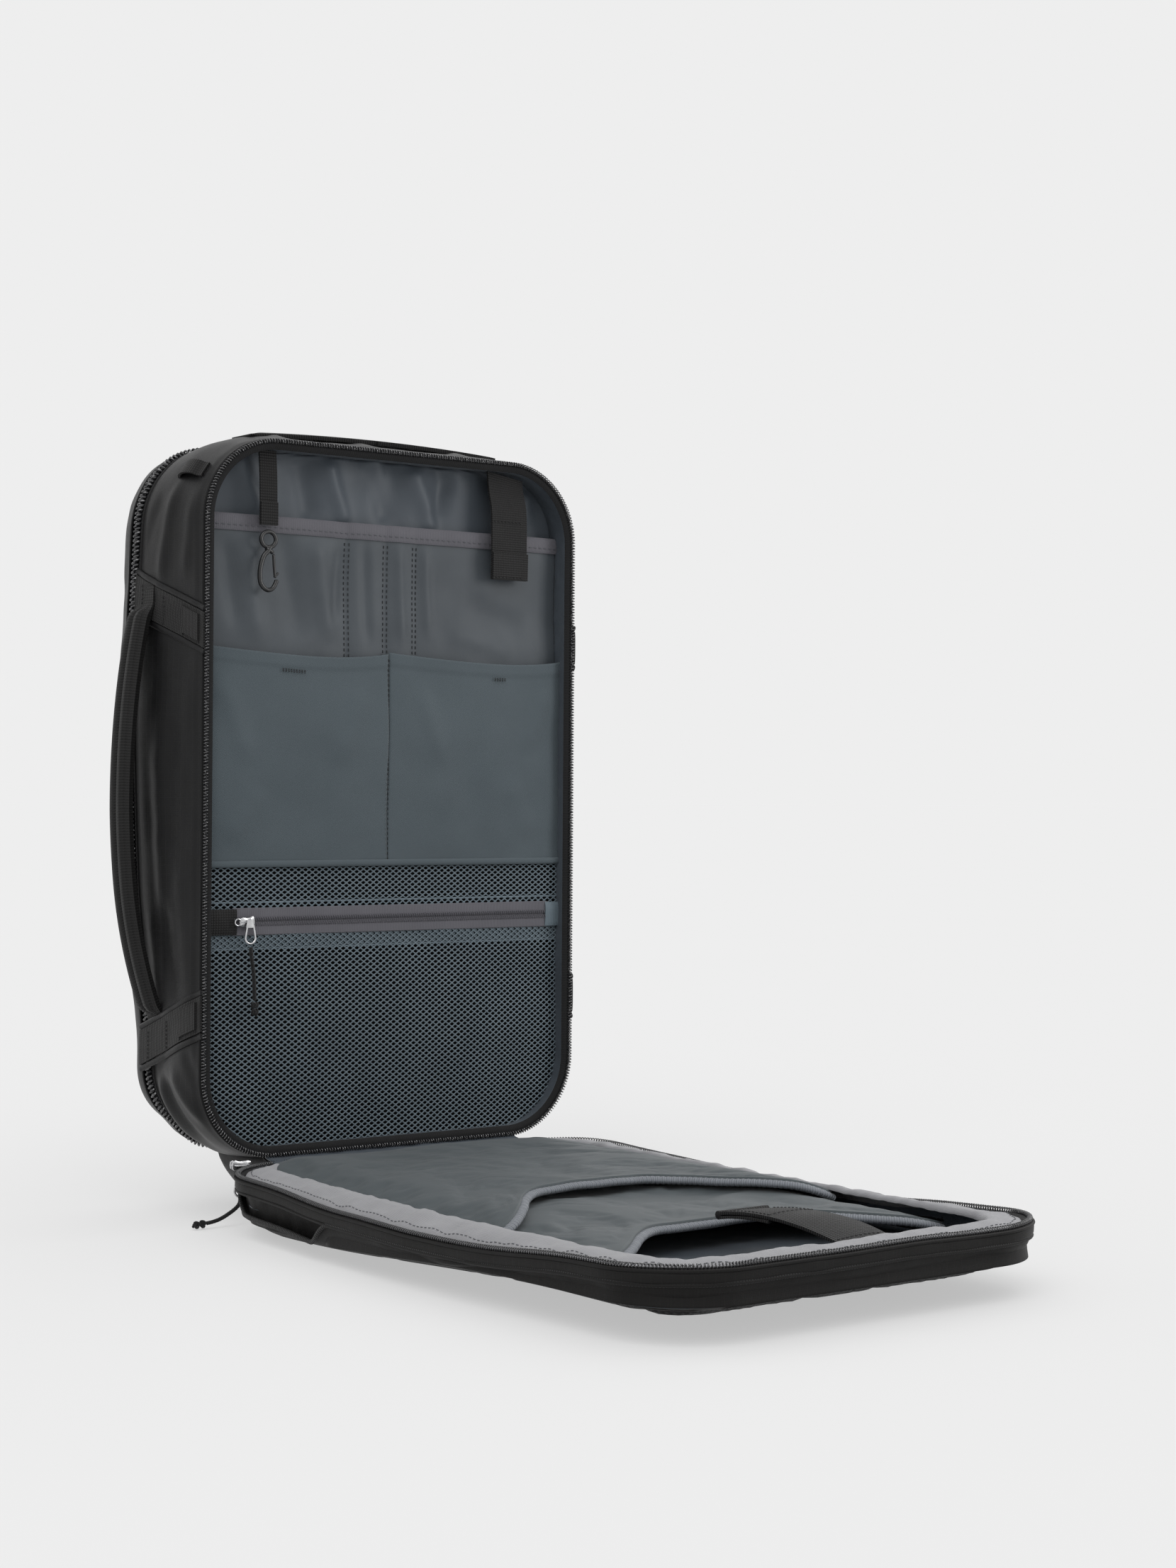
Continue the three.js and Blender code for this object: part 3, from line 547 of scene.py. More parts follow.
def outwards(flat):
    """Outward normals of an anticlockwise closed flat path."""
    ahead = unit(np.roll(flat, -1, 0) - np.roll(flat, 1, 0))
    return np.stack([ahead[:, 1], -ahead[:, 0]], 1)


def standing(flat, y):
    """Flat (x, z) points stood up at y."""
    return np.stack([flat[..., 0], np.broadcast_to(y, flat.shape[:-1]), flat[..., 1]], -1)


def lying(flat, z):
    """Flat (x, y) points laid at z."""
    return np.stack([flat[..., 0], flat[..., 1], np.broadcast_to(z, flat.shape[:-1])], -1)


def carried(flat, profile, place):
    """A profile of (inset, height) pairs carried round a flat path. place stands or lays it."""
    profile = np.asarray(profile, float)
    inset = flat[:, None] - outwards(flat)[:, None] * profile[None, :, :1]
    return place(inset, np.broadcast_to(profile[None, :, 1], inset.shape[:-1]))


def crumple(grid, size, depth, seed=0.0):
    """Smooth noise heights over a grid of points."""
    flat = np.asarray(grid).reshape(-1, 3) / size
    heights = [noise.noise(Vector((x + seed, y, z))) for x, y, z in flat]
    return np.array(heights).reshape(np.asarray(grid).shape[:-1]) * depth


def fold(u, v, start, end, width, depth, fade_in=0.3):
    """Heights of one soft fold from start to end. It fades in over that share of its length at both ends."""
    along = np.array(end, float) - np.array(start, float)
    length = math.hypot(*along)
    t = ((u - start[0]) * along[0] + (v - start[1]) * along[1]) / length ** 2
    aside = ((u - start[0]) * along[1] - (v - start[1]) * along[0]) / length
    fade = np.clip(t / fade_in, 0, 1) * np.clip((1 - t) / fade_in, 0, 1)
    return depth * fade * fade * (3 - 2 * fade) * np.exp(-(aside / width) ** 2)


def with_folds(height, u, v, folds, fade_in=0.3):
    """Heights with a list of (start, end, width, depth) folds added."""
    for start, end, width, depth in folds:
        height = height + fold(u, v, start, end, width, depth, fade_in)
    return height


def upright_place(x, z):
    """Points with y 0, where noise for a standing cloth is read."""
    return np.stack([x, np.zeros_like(x), z], -1)


def level_place(x, y):
    """Points with z 0, where noise for a lying cloth is read."""
    return np.stack([x, y, np.zeros_like(x)], -1)


def add_stitches(bits, path, length=2.6, gap=1.4, thick=0.55, up=(0, -1, 0)):
    """A row of short raised stitches along a path."""
    line = spaced(path, (length + gap) / 4)
    for k in range(0, len(line) - 3, 4):
        add_tube(bits, line[k:k + 3], thick, thick, 5, up=up)
    return bits


COIL_SIDES, COIL_TURN_STEPS = 5, 8


def coil(path, across, above, pitch, wide, tall, phase=0.0):
    """A zip's nylon coil: a flattened helix along a path, from side to side of `across` and `above`."""
    lengths = run_lengths(path)
    turns = int(lengths[-1] / pitch)
    at = np.linspace(0, lengths[-1], turns * COIL_TURN_STEPS + 1)
    middle, side, top = (np.stack([np.interp(at, lengths, v[:, k]) for k in range(3)], 1)
                         for v in (path, across, above))
    angle = (2 * math.pi * np.arange(len(at)) / COIL_TURN_STEPS + phase)[:, None]
    return middle + side * np.cos(angle) * wide / 2 + top * np.sin(angle) * tall / 2


def relaxed(grid, held, growth, cap, frames):
    """Blender's cloth simulation on a sheet: held points stay, and the rest buckles as its cloth grows by
    that share. No point moves further than the cap, in millimetres."""
    rows, cols = grid.shape[:2]
    i, j = np.meshgrid(np.arange(rows - 1), np.arange(cols - 1), indexing="ij")
    i, j = i.ravel(), j.ravel()
    after = i + 1
    faces = np.stack([i * cols + j, after * cols + j, after * cols + j + 1, i * cols + j + 1], 1)
    mesh = bpy.data.meshes.new("cloth")
    mesh.from_pydata((grid.reshape(-1, 3) * MM * SIM_SCALE).tolist(), [], faces.tolist())
    cloth_piece = bpy.data.objects.new("cloth", mesh)
    scene = bpy.context.scene
    scene.collection.objects.link(cloth_piece)
    pins = cloth_piece.vertex_groups.new(name="held")
    pins.add(np.where(held.ravel())[0].tolist(), 1.0, "REPLACE")
    modifier = cloth_piece.modifiers.new("cloth", "CLOTH")
    settings = modifier.settings
    settings.quality = 5
    settings.mass = 0.3
    settings.tension_stiffness = settings.compression_stiffness = 15
    settings.shear_stiffness = 5
    settings.bending_stiffness = 40
    settings.shrink_min = -growth
    settings.vertex_group_mass = "held"
    settings.effector_weights.gravity = 0
    for frame_number in range(1, frames + 1):
        scene.frame_set(frame_number)
    seen = cloth_piece.evaluated_get(bpy.context.evaluated_depsgraph_get()).to_mesh()
    moved = np.zeros(rows * cols * 3)
    seen.vertices.foreach_get("co", moved)
    bpy.data.objects.remove(cloth_piece)
    scene.frame_set(1)
    shift = moved.reshape(grid.shape) / MM / SIM_SCALE - grid
    size = np.linalg.norm(shift, axis=-1, keepdims=True)
    return grid + shift * np.minimum(1, cap / np.maximum(size, 1e-6))


def settle(piece, body, slot, *nodes):
    """The piece rides on a body and stands for CAD nodes, which it hides. slot is not used."""
    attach(piece, body)
    if nodes:
        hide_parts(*nodes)
    return piece


def bridge(piece, first, second, start, end, slot, *nodes):
    """The piece's placement is baked into its mesh, and the CAD nodes it stands for are hidden. The two
    bodies, and start and end (in millimetres), are not used.
    """
    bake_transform(piece)
    if nodes:
        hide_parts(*nodes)
    return piece


# ---------------------------------------------------------------- shell sizes, from the frame

GUSSET = corners("gusset")
FACE_ZIP = corners("face_zip")
MAIN_ZIP = corners("main_zip")
HALF_WIDTH = GUSSET[1][0]
SHELL_LOW, SHELL_TOP = GUSSET[0][2], GUSSET[1][2]
CORNER_RADIUS = 55.0
FACE_Y, BACK_Y = FACE_ZIP[0][1], MAIN_ZIP[1][1]
MIDDLE_Z = (SHELL_LOW + SHELL_TOP) / 2
UPPER_BAND, LOWER_BAND = corners("band_upper_left"), corners("band_lower_left")
BAND_WIDTH = 25.0


def shell_outline(step):
    return rounded(HALF_WIDTH, SHELL_LOW, SHELL_TOP, CORNER_RADIUS, step)


def band_line(level, y):
    """Height of a webbing band's middle at that depth; both bands slope."""
    box = UPPER_BAND if level == "upper" else LOWER_BAND
    low, high = box[0][2] + BAND_WIDTH / 2, box[1][2] - BAND_WIDTH / 2
    t = (y - box[0][1]) / (box[1][1] - box[0][1])
    return low + (high - low) * t if level == "upper" else high + (low - high) * t


SIDE_FOLDS = (  # (start y, z), (end y, z), width, depth
    ((-6, 500), (12, 410), 6, 2.0), ((-26, 486), (-18, 420), 5, 1.1), ((10, 486), (30, 446), 6, -1.3),
    ((-24, 380), (-16, 236), 7, 1.0), ((2, 352), (10, 196), 9, 1.5), ((20, 330), (12, 180), 6, -1.2),
    ((-14, 262), (-26, 132), 7, 1.2), ((4, 224), (-8, 128), 7, -1.2), ((24, 214), (18, 140), 6, 1.0),
    ((0, 104), (-36, 66), 6, 2.2), ((16, 100), (-16, 50), 5, -2.2), ((26, 98), (-2, 42), 6, 2.6),
    ((34, 88), (14, 42), 5, -2.0), ((-20, 116), (-38, 92), 5, -1.2),
)
TOP_FOLDS = (  # (start x, y), (end x, y), width, depth
    ((-88, -34), (-70, 34), 6, 2.0), ((-52, -36), (-58, 20), 5, -1.4), ((-20, -36), (-8, 30), 7, 1.6),
    ((22, -30), (12, 36), 6, -1.5), ((58, -36), (70, 28), 6, 1.8), ((92, -34), (84, 30), 5, -1.4),
)


BULGE_LEFT, BULGE_RIGHT, BULGE_Z, BACK_PINCH = 9.0, 1.5, 335.0, 8.0


def ease(t):
    t = np.clip(t, 0, 1)
    return t * t * (3 - 2 * t)


def bulge(place):
    """How far the soft sides swell outwards towards the back."""
    x, y, z = place[..., 0], place[..., 1], place[..., 2]
    most = np.where(x < 0, BULGE_LEFT, BULGE_RIGHT)
    swell = most * np.exp(-((z - BULGE_Z) / 150) ** 2) - BACK_PINCH * ease((225 - z) / 120)
    return swell * ease((y + 22) / 64) * ease((np.abs(x) - 100) / 30)


def shell_ring(flat, profile):
    """A profile of (inset, y) carried round the shell's outline, following its swollen sides."""
    grid = carried(flat, profile, standing)
    return grid + standing(outwards(flat), 0)[:, None] * bulge(grid)[..., None]


def shell_height(place):
    """How far the side cloth stands out from its outline at points on it."""
    x, y, z = place[..., 0], place[..., 1], place[..., 2]
    t = np.clip((y - GUSSET[0][1]) / (GUSSET[1][1] - GUSSET[0][1]), 0, 1)
    edge = np.sin(math.pi * t) ** 0.6
    pinch = np.ones_like(x)
    for level in ("upper", "lower"):
        pinch = pinch * (1 - 0.75 * np.exp(-((z - band_line(level, y)) / 15) ** 2) * (np.abs(x) > 110))
    height = 3.6 * edge * pinch
    for start, end, width, depth in SIDE_FOLDS:
        shift = np.where(x > 0, 5.0, 0.0)
        height = height + fold(y + shift * 0.6, z + shift, start, end, width,
                               depth) * (np.abs(x) > 96) * pinch
    for start, end, width, depth in TOP_FOLDS:
        height = height + fold(x, y, start, end, width, depth) * (z > MIDDLE_Z) * (np.abs(x) < 110)
    height = height + crumple(place, 55, 1.5) * edge + crumple(place, 17, 0.55, 7) * edge
    height = height + 2.0 * edge * (z > MIDDLE_Z) * ease((112 - np.abs(x)) / 20)
    return height * np.clip(np.minimum(t, 1 - t) * 12, 0, 1) ** 0.7 + bulge(place)


def shell_surface(flat, ys):
    """The side cloth's outer face over an outline."""
    grid = carried(flat, [(0, y) for y in ys], standing)
    out = standing(outwards(flat), 0)[:, None]
    return grid + out * shell_height(grid)[..., None]


def side_cloth():
    ys = np.linspace(GUSSET[0][1] - 1.2, GUSSET[1][1] + 1.2, 40)
    grid = shell_surface(shell_outline(3.0), ys)
    piece = sheet_piece("side_cloth", grid[:, ::-1], 1.2, SHELL, closed=True, crease=SMOOTH)
    settle(piece, "shell", "shell_black", "gusset")
    for name, y in (("face_piping", GUSSET[0][1] - 1.4), ("back_piping", GUSSET[1][1] + 1.4)):
        line = shell_ring(shell_outline(3.0), [(0.4, y)])[:, 0]
        settle(tube_piece(name, line, 2.4, SHELL, closed=True, up=(0, 1, 0)), "shell", "shell_black")


FACE_COIL, FACE_WIRE = (2.0, 2.8, 2.4), 0.85  # pitch, width and height of the coil, and its wire
MAIN_COIL, MAIN_WIRE = (3.1, 4.6, 3.8), 1.6


def zip_half(name, flat, coil_inset, coil_height, tape, pitch, wide, tall, wire, body, node, phase=0.0):
    """One half of a coil zip round the shell: a woven tape and its nylon coil."""
    tape_piece = sheet_piece(name + "_tape", shell_ring(flat, tape)[:, ::-1], 0.7, BLACK_TAPE, closed=True)
    settle(tape_piece, body, "zip_black", node)
    path = shell_ring(flat, [(coil_inset, coil_height)])[:, 0]
    path = np.concatenate([path, path[:1]])
    side = standing(outwards(flat), 0.0)
    side = np.concatenate([side, side[:1]])
    axis = np.broadcast_to((0.0, 1.0, 0.0), path.shape)
    line = coil(path, side, axis, pitch, wide, tall, phase)
    settle(tube_piece(name + "_coil", line, wire, TEETH, sides=COIL_SIDES), body, "zip_black")


def shell_zips():
    flat = shell_outline(2.5)
    zip_half("face_zip", flat, 1.1, FACE_Y + 1.2,
             [(0.2, FACE_Y + 3.4), (2.4, FACE_Y + 2.6), (4.4, FACE_Y + 2.6), (6.6, FACE_Y + 3.9)],
             *FACE_COIL, FACE_WIRE, "shell", "face_zip")
    zip_half("main_zip", flat, -0.4, BACK_Y - 1.0,
             [(0.2, BACK_Y - 5.8), (0.0, BACK_Y - 2.6), (0.8, BACK_Y - 1.6), (5, BACK_Y - 1.8)],
             *MAIN_COIL, MAIN_WIRE, "shell", "main_zip")
    zip_half("main_panel_zip", flat, -0.4, BACK_Y + 1.4,
             [(5, BACK_Y + 1.9), (0.8, BACK_Y + 1.9), (0.0, BACK_Y + 3.0), (0.2, BACK_Y + 6.6)],
             *MAIN_COIL, MAIN_WIRE, "main_cover", "main_panel_zip", phase=math.pi)


def belt(name, path, across, width, thick, finish):
    """Webbing along a path: across is its width direction."""
    path = np.asarray(path, float)
    across = np.broadcast_to(np.asarray(across, float), path.shape)
    s = np.linspace(-0.5, 0.5, 9)
    grid = path[:, None] + across[:, None] * s[None, :, None] * width
    out = normals(grid)
    crown = 0.2 * (1 - (2 * np.abs(s)) ** 4)
    grid = grid + out * crown[None, :, None]
    return sheet_piece(name, grid, thick, finish)


BAND_SEAMS = (-36.0, -18.0, 4.0, 30.0)


def bands():
    for side, sign in (("left", -1), ("right", 1)):
        for level in ("upper", "lower"):
            ys = np.linspace(-42, 42, 36)
            rows = []
            for offset in np.linspace(-0.5, 0.5, 9):
                z = band_line(level, ys) + offset * BAND_WIDTH * 0.94
                base = np.stack([np.full_like(ys, sign * HALF_WIDTH), ys, z], 1)
                height = np.maximum(shell_height(base), 0) + 1.9 - 0.3 * (2 * abs(offset)) ** 4
                base[:, 0] += sign * height
                rows.append(base)
            grid = np.stack(rows, 1)
            if sign > 0:
                grid = grid[:, ::-1]
            piece = sheet_piece(f"webbing_{level}_{side}", grid[::-1], 1.5, BELT)
            settle(piece, "shell", "webbing_black", f"band_{level}_{side}")
            thread = Bits()
            for y_at in BAND_SEAMS:
                up = np.linspace(-0.42, 0.42, 18) * BAND_WIDTH
                line = np.stack([np.full(18, sign * HALF_WIDTH), np.full(18, y_at),
                                 band_line(level, y_at) + up], 1)
                line[:, 0] += sign * (np.maximum(shell_height(line), 0) + 2.1)
                add_stitches(thread, line, 2.0, 0.8, 0.8, up=(sign, 0, 0))
            settle(thread.make(f"webbing_thread_{level}_{side}", BLACK_THREAD), "shell", "webbing_black")
            tab = grid[2:11, 1:-1] + np.array([sign * 1.4, 0, 0])
            settle(sheet_piece(f"webbing_tab_{level}_{side}", tab[::-1], 1.4, BELT), "shell", "webbing_black")
            rim = Bits()
            for offset, thick in ((0.56, 2.6), (-0.58, 2.2)):
                z = band_line(level, ys) + offset * BAND_WIDTH
                base = np.stack([np.full_like(ys, sign * HALF_WIDTH), ys, z], 1)
                base[:, 0] += sign * (np.maximum(shell_height(base), 0) + 0.7)
                add_tube(rim, base, 4.2, thick, 10, up=(sign, 0, 0))
            settle(rim.make(f"webbing_trim_{level}_{side}", SHELL), "shell", "shell_black")


HANDLE_WIDTH, HANDLE_BOW, HANDLE_TUCK, HANDLE_LAP = 23.0, 16.5, 13.0, 0.006
TOP_SEAT, TOP_RISE, TOP_WIDTH = 6.4, 3.6, 26.0
BLEND_SHARE = 0.75  # how far along its half a handle's reach point lies, from its sewn end


def handle_face(path, across, out, width, flatness):
    """A folded webbing handle: a crowned strip with two raised ridges, flat where it is tucked in."""
    s = np.linspace(-0.5, 0.5, 19)
    ridge = 1.3 * np.exp(-((s - 0.2) / 0.09) ** 2) + 1.3 * np.exp(-((s + 0.2) / 0.09) ** 2)
    height = (ridge + 1.2 * (1 - (2 * np.abs(s)) ** 4))[None, :] * (1 - flatness)[:, None]
    face = path[:, None] + across[:, None] * s[None, :, None] * width + out[:, None] * height[..., None]
    return face, 1.2 + 2.6 * (1 - flatness)[:, None] + height * 0.9


def handles():
    """Each side handle is two halves, from the shell to the lifted middle."""
    for side, sign in (("left", -1), ("right", 1)):
        low, high = corners(f"side_handle_{side}")
        middle_y = (low[1] + high[1]) / 2
        for part, (first, last) in (("lower", (0.0, 0.5 + HANDLE_LAP)), ("upper", (0.5 - HANDLE_LAP, 1.0))):
            t = np.linspace(first, last, 54)
            z = low[2] - HANDLE_TUCK + (high[2] - low[2] + 2 * HANDLE_TUCK) * t
            free = np.clip((z - low[2]) / (high[2] - low[2]), 0, 1)
            shape = np.sin(math.pi * free) ** 0.8
            y = middle_y + 4.0 * (0.5 - np.abs(free - 0.5)) - 1.0
            seat = bulge(np.stack([np.full_like(t, sign * HALF_WIDTH), y, z], -1))
            x = sign * (HALF_WIDTH + seat * (1 - 0.55 * shape) + 1.6 + HANDLE_BOW * shape)
            path = np.stack([x, y, z], 1)
            along = unit(np.gradient(path, axis=0))
            across = unit(np.cross(along, (sign, 0, 0)))
            out = unit(np.cross(across, along))
            flatness = 1 - ease(np.minimum(free, 1 - free) / 0.035)
            face, thick = handle_face(path, across, out, HANDLE_WIDTH, flatness)
            piece = sheet_piece(f"grab_handle_{part}_{side}", face, thick, BELT, crease=70)
            end_z, mid_z = (low[2], z[-1]) if part == "lower" else (high[2], z[0])
            reach = end_z + (mid_z - end_z) * BLEND_SHARE
            bridge(piece, "shell", f"{side}_handle", (0, 0, end_z), (0, 0, reach), "webbing_black",
                   *([f"side_handle_{side}"] if part == "lower" else []))


def top_handle():
    """The top handle: nearly flat at rest, and sewn down at both ends."""
    low, high = corners("top_handle")
    for part, (first, last) in (("left", (0.0, 0.5 + HANDLE_LAP)), ("right", (0.5 - HANDLE_LAP, 1.0))):
        t = np.linspace(first, last, 44)
        x = low[0] + (high[0] - low[0]) * t
        rise = TOP_RISE * np.sin(math.pi * t) ** 0.7
        path = np.stack([x, np.zeros_like(t), SHELL_TOP + TOP_SEAT + rise], 1)
        along = unit(np.gradient(path, axis=0))
        across = np.broadcast_to((0.0, 1.0, 0.0), path.shape)
        out = unit(np.cross(along, across))
        flatness = 1 - ease(np.minimum(t, 1 - t) / 0.06)
        face, thick = handle_face(path, across, out, TOP_WIDTH, 0.4 + 0.6 * flatness)
        piece = sheet_piece(f"haul_handle_{part}", face, thick, BELT, crease=70)
        end_x, mid_x = (x[0], x[-1]) if part == "left" else (x[-1], x[0])
        reach = end_x + (mid_x - end_x) * BLEND_SHARE
        bridge(piece, "shell", "haul_handle", (end_x, 0, 0), (reach, 0, 0), "webbing_black",
               *(["top_handle"] if part == "left" else []))


def corner_loops():
    for side, sign in (("left", -1), ("right", 1)):
        low, high = corners(f"corner_loop_{side}")
        centre = (low + high) / 2
        lift = unit(np.array([sign * 0.82, 0.0, 0.57]))
        over = np.array([-lift[2] * sign, 0.0, lift[0] * sign]) * sign
        base = centre - lift * 0.5 + np.array([sign * 0.6, 0, 0])
        shape = smooth_path([[-17, 0], [-13, 1.0], [-8, 4.4], [0, 5.6], [8, 4.2], [13, 1.0], [17, 0]], 1.2)
        path = base + np.stack([lift[0] * shape[:, 1], shape[:, 0], lift[2] * shape[:, 1]], 1)
        piece = belt(f"corner_webbing_{side}", path, over if sign < 0 else -over, 11, 1.5, BELT)
        settle(piece, "shell", "webbing_black", f"corner_loop_{side}")


# ---------------------------------------------------------------- organiser

WALL_Y = corners("organiser_wall")[0][1]
UPPER = corners("upper_pockets")
STRETCH_LEFT, STRETCH_RIGHT = corners("stretch_pocket_left"), corners("stretch_pocket_right")
MESH_BOX = corners("mesh_pocket")
DIVIDERS = [float((corners(f"pocket_divider_{k}")[0] + corners(f"pocket_divider_{k}")[1])[0]
                  / 2) for k in (1, 2, 3)]
FRONT = (0, -1, 0)


def half_width_at(z, inset):
    """Half the width of the shell's opening at that height, less an inset."""
    radius = CORNER_RADIUS - inset
    low, high = SHELL_LOW + inset + radius, SHELL_TOP - inset - radius
    past = np.maximum(np.maximum(low - z, z - high), 0)
    return HALF_WIDTH - inset - radius + np.sqrt(np.maximum(radius ** 2 - past ** 2, 0))


def wide_grid(low, high, inset, columns, rows):
    """An upright grid of (x, z) that fills the opening from one height to another."""
    z = np.linspace(low, high, rows)
    s = np.linspace(-1, 1, columns)
    x = s[:, None] * half_width_at(z, inset)[None, :]
    return x, np.broadcast_to(z, x.shape)


def side_lining():
    """Slate lining round the inside: gathered towards the front zip, plain behind the organiser wall."""
    flat = shell_outline(3.0)
    ys = np.linspace(FACE_Y + 3.5, WALL_Y + 2, 14)
    profile = [(6.4 - 1.2 * k / 13, y) for k, y in enumerate(ys)]
    grid = carried(flat, profile, standing)
    out = standing(outwards(flat), 0)[:, None]
    t = np.linspace(0, 1, 14)[None, :]
    ripple = crumple(grid, 16, 1.6, 3) * np.sin(math.pi * t) + crumple(grid, 6, 0.5, 5) * np.sin(math.pi * t)
    grid = grid - out * (np.abs(ripple) * 0.9 - np.minimum(bulge(grid), 0))[..., None]
    settle(sheet_piece("front_lining", grid, 0.8, LINING, closed=True, crease=SMOOTH), "shell",
           "lining_slate",
           "compartment_lining")
    ys = np.linspace(WALL_Y + 3.4, BACK_Y - 2.6, 26)
    profile = [(3.6 + 1.6 * math.sin(math.pi * k / 25), y) for k, y in enumerate(ys)]
    grid = carried(flat, profile, standing)
    ripple = crumple(grid, 40, 1.6, 9) + crumple(grid, 14, 0.7, 2)
    grid = grid - out * (ripple - np.minimum(bulge(grid), 0))[..., None]
    settle(sheet_piece("back_lining", grid, 0.8, LINING, closed=True, crease=SMOOTH), "shell", "lining_slate")


def organiser_wall():
    x, z = wide_grid(SHELL_LOW + 5, SHELL_TOP - 5, 5.2, 150, 190)
    top = np.clip((z - 455) / (SHELL_TOP - 455), 0, 1)
    pleats = 2.6 * np.sin(x / 7.5 + 2.0 * np.sin(x / 31)) * top ** 1.3 + 1.2 * np.sin(x / 3.4 + z
                                                                                      / 40) * top ** 3
    place = np.stack([x, np.full_like(x, WALL_Y), z], -1)
    y = WALL_Y - 1.0 + pleats + crumple(place, 45, 2.0, 1) + crumple(place, 18, 1.0, 4) * top
    y = with_folds(y, x, z, (
        ((-120, 512), (-95, 470), 7, -3.5), ((-70, 515), (-58, 468), 8, 3.5),
        ((-48, 514), (-30, 466), 6, -3.5),
        ((-12, 514), (2, 470), 8, 3.0), ((20, 515), (45, 468), 8, -4.5), ((56, 514), (40, 470), 7, 3.5),
        ((124, 505), (112, 470), 7, -3.0)), 0.2)
    grid = np.stack([x, y, z], -1)
    settle(sheet_piece("organiser_lining", grid, 2.2, LINING, crease=SMOOTH), "shell", "lining_slate",
           "organiser_wall")


def pocket_belly(x, edges, power=0.55):
    """0 at the stitched edges and 1 in the middle of each pocket between them."""
    height = np.zeros_like(x)
    for low, high in zip(edges, edges[1:]):
        t = np.clip((x - low) / (high - low), 0, 1)
        height = np.maximum(height, np.sin(math.pi * t) ** power)
    return height


def upper_pocket_y(x, z):
    """Depth of the upper pockets' cloth."""
    up = np.clip((z - UPPER[0][2]) / (UPPER[1][2] - UPPER[0][2]), 0, 1)
    belly = pocket_belly(x, [-146, *DIVIDERS, 146])
    y = UPPER[0][1] + 1.6 - belly * 2.4
    place = upright_place(x, z)
    y = y + crumple(place, 50, 1.3, 6) + crumple(place, 20, 0.5, 8)
    y = with_folds(y, x, z, (
        ((-128, 458), (-118, 390), 6, 2.2), ((-112, 462), (-104, 380), 8, -2.6),
        ((-86, 466), (-70, 384), 9, 2.6),
        ((-60, 464), (-46, 384), 8, -2.8), ((-38, 460), (-44, 396), 4, 1.8), ((30, 462), (34, 388), 4, -1.6),
        ((-20, 464), (-16, 380), 4, 1.8), ((8, 464), (12, 380), 4, -1.6), ((60, 420), (120, 400), 10, 1.4),
        ((44, 400), (110, 384), 8, -1.4)), 0.25)
    return y + 0.6 * (1 - up)


def upper_pockets():
    low, high = UPPER
    x, z = wide_grid(low[2], high[2] + 1, 5.6, 170, 110)
    grid = np.stack([x, upper_pocket_y(x, z), z], -1)
    settle(sheet_piece("upper_pocket_row", grid, 1.1, POCKET, crease=SMOOTH), "shell", "lining_slate",
           "upper_pockets")
    tape_low = corners("upper_pocket_binding")[0]
    xs = np.linspace(-1, 1, 170) * half_width_at(np.full(170, tape_low[2]), 5.2)
    section = [(1.6, -0.6), (-0.9, -1.0), (-1.5, 0.2), (-1.5, 8.6), (-0.6, 10.2), (0.8, 10.4), (2.0, 9.4),
               (2.2, 1)]
    rows = []
    for back, up in section:
        zs = np.full_like(xs, tape_low[2] + up - 1.2)
        rows.append(np.stack([xs, upper_pocket_y(xs, np.full_like(xs, high[2])) + back, zs], 1))
    grid = np.stack(rows, 1)
    settle(sheet_piece("pocket_row_binding", grid, 0.7, GREY_TAPE), "shell", "tape_grey",
           "upper_pocket_binding")
    thread = Bits()
    zs = np.full_like(xs, tape_low[2] + 1.4)
    add_stitches(thread, np.stack([xs, upper_pocket_y(xs, zs) - 1.9, zs], 1), 2.8, 1.6, 0.5)
    settle(thread.make("binding_thread", GREY_THREAD), "shell", "tape_grey")
    for number, centre in enumerate(DIVIDERS, 1):
        thread = Bits()
        for shift in (-1.6, 1.6):
            zs = np.linspace(low[2] + 2, high[2] - 1, 80)
            line_x = np.full_like(zs, centre + shift)
            add_stitches(thread, np.stack([line_x, upper_pocket_y(line_x, zs) - 0.35, zs], 1), 2.4, 1.4, 0.5)
        settle(thread.make(f"divider_thread_{number}", BLACK_THREAD), "shell", "lining_slate",
               f"pocket_divider_{number}")


BARTACK_DROP = 10.0


def stretch_sag(x, low, high):
    """How far a stretch pocket's open edge sags between its seams."""
    t = np.clip((x - low) / (high - low), 0, 1)
    return -5.5 * np.sin(math.pi * t) ** 0.9 + 1.2 * np.sin(5 * t)


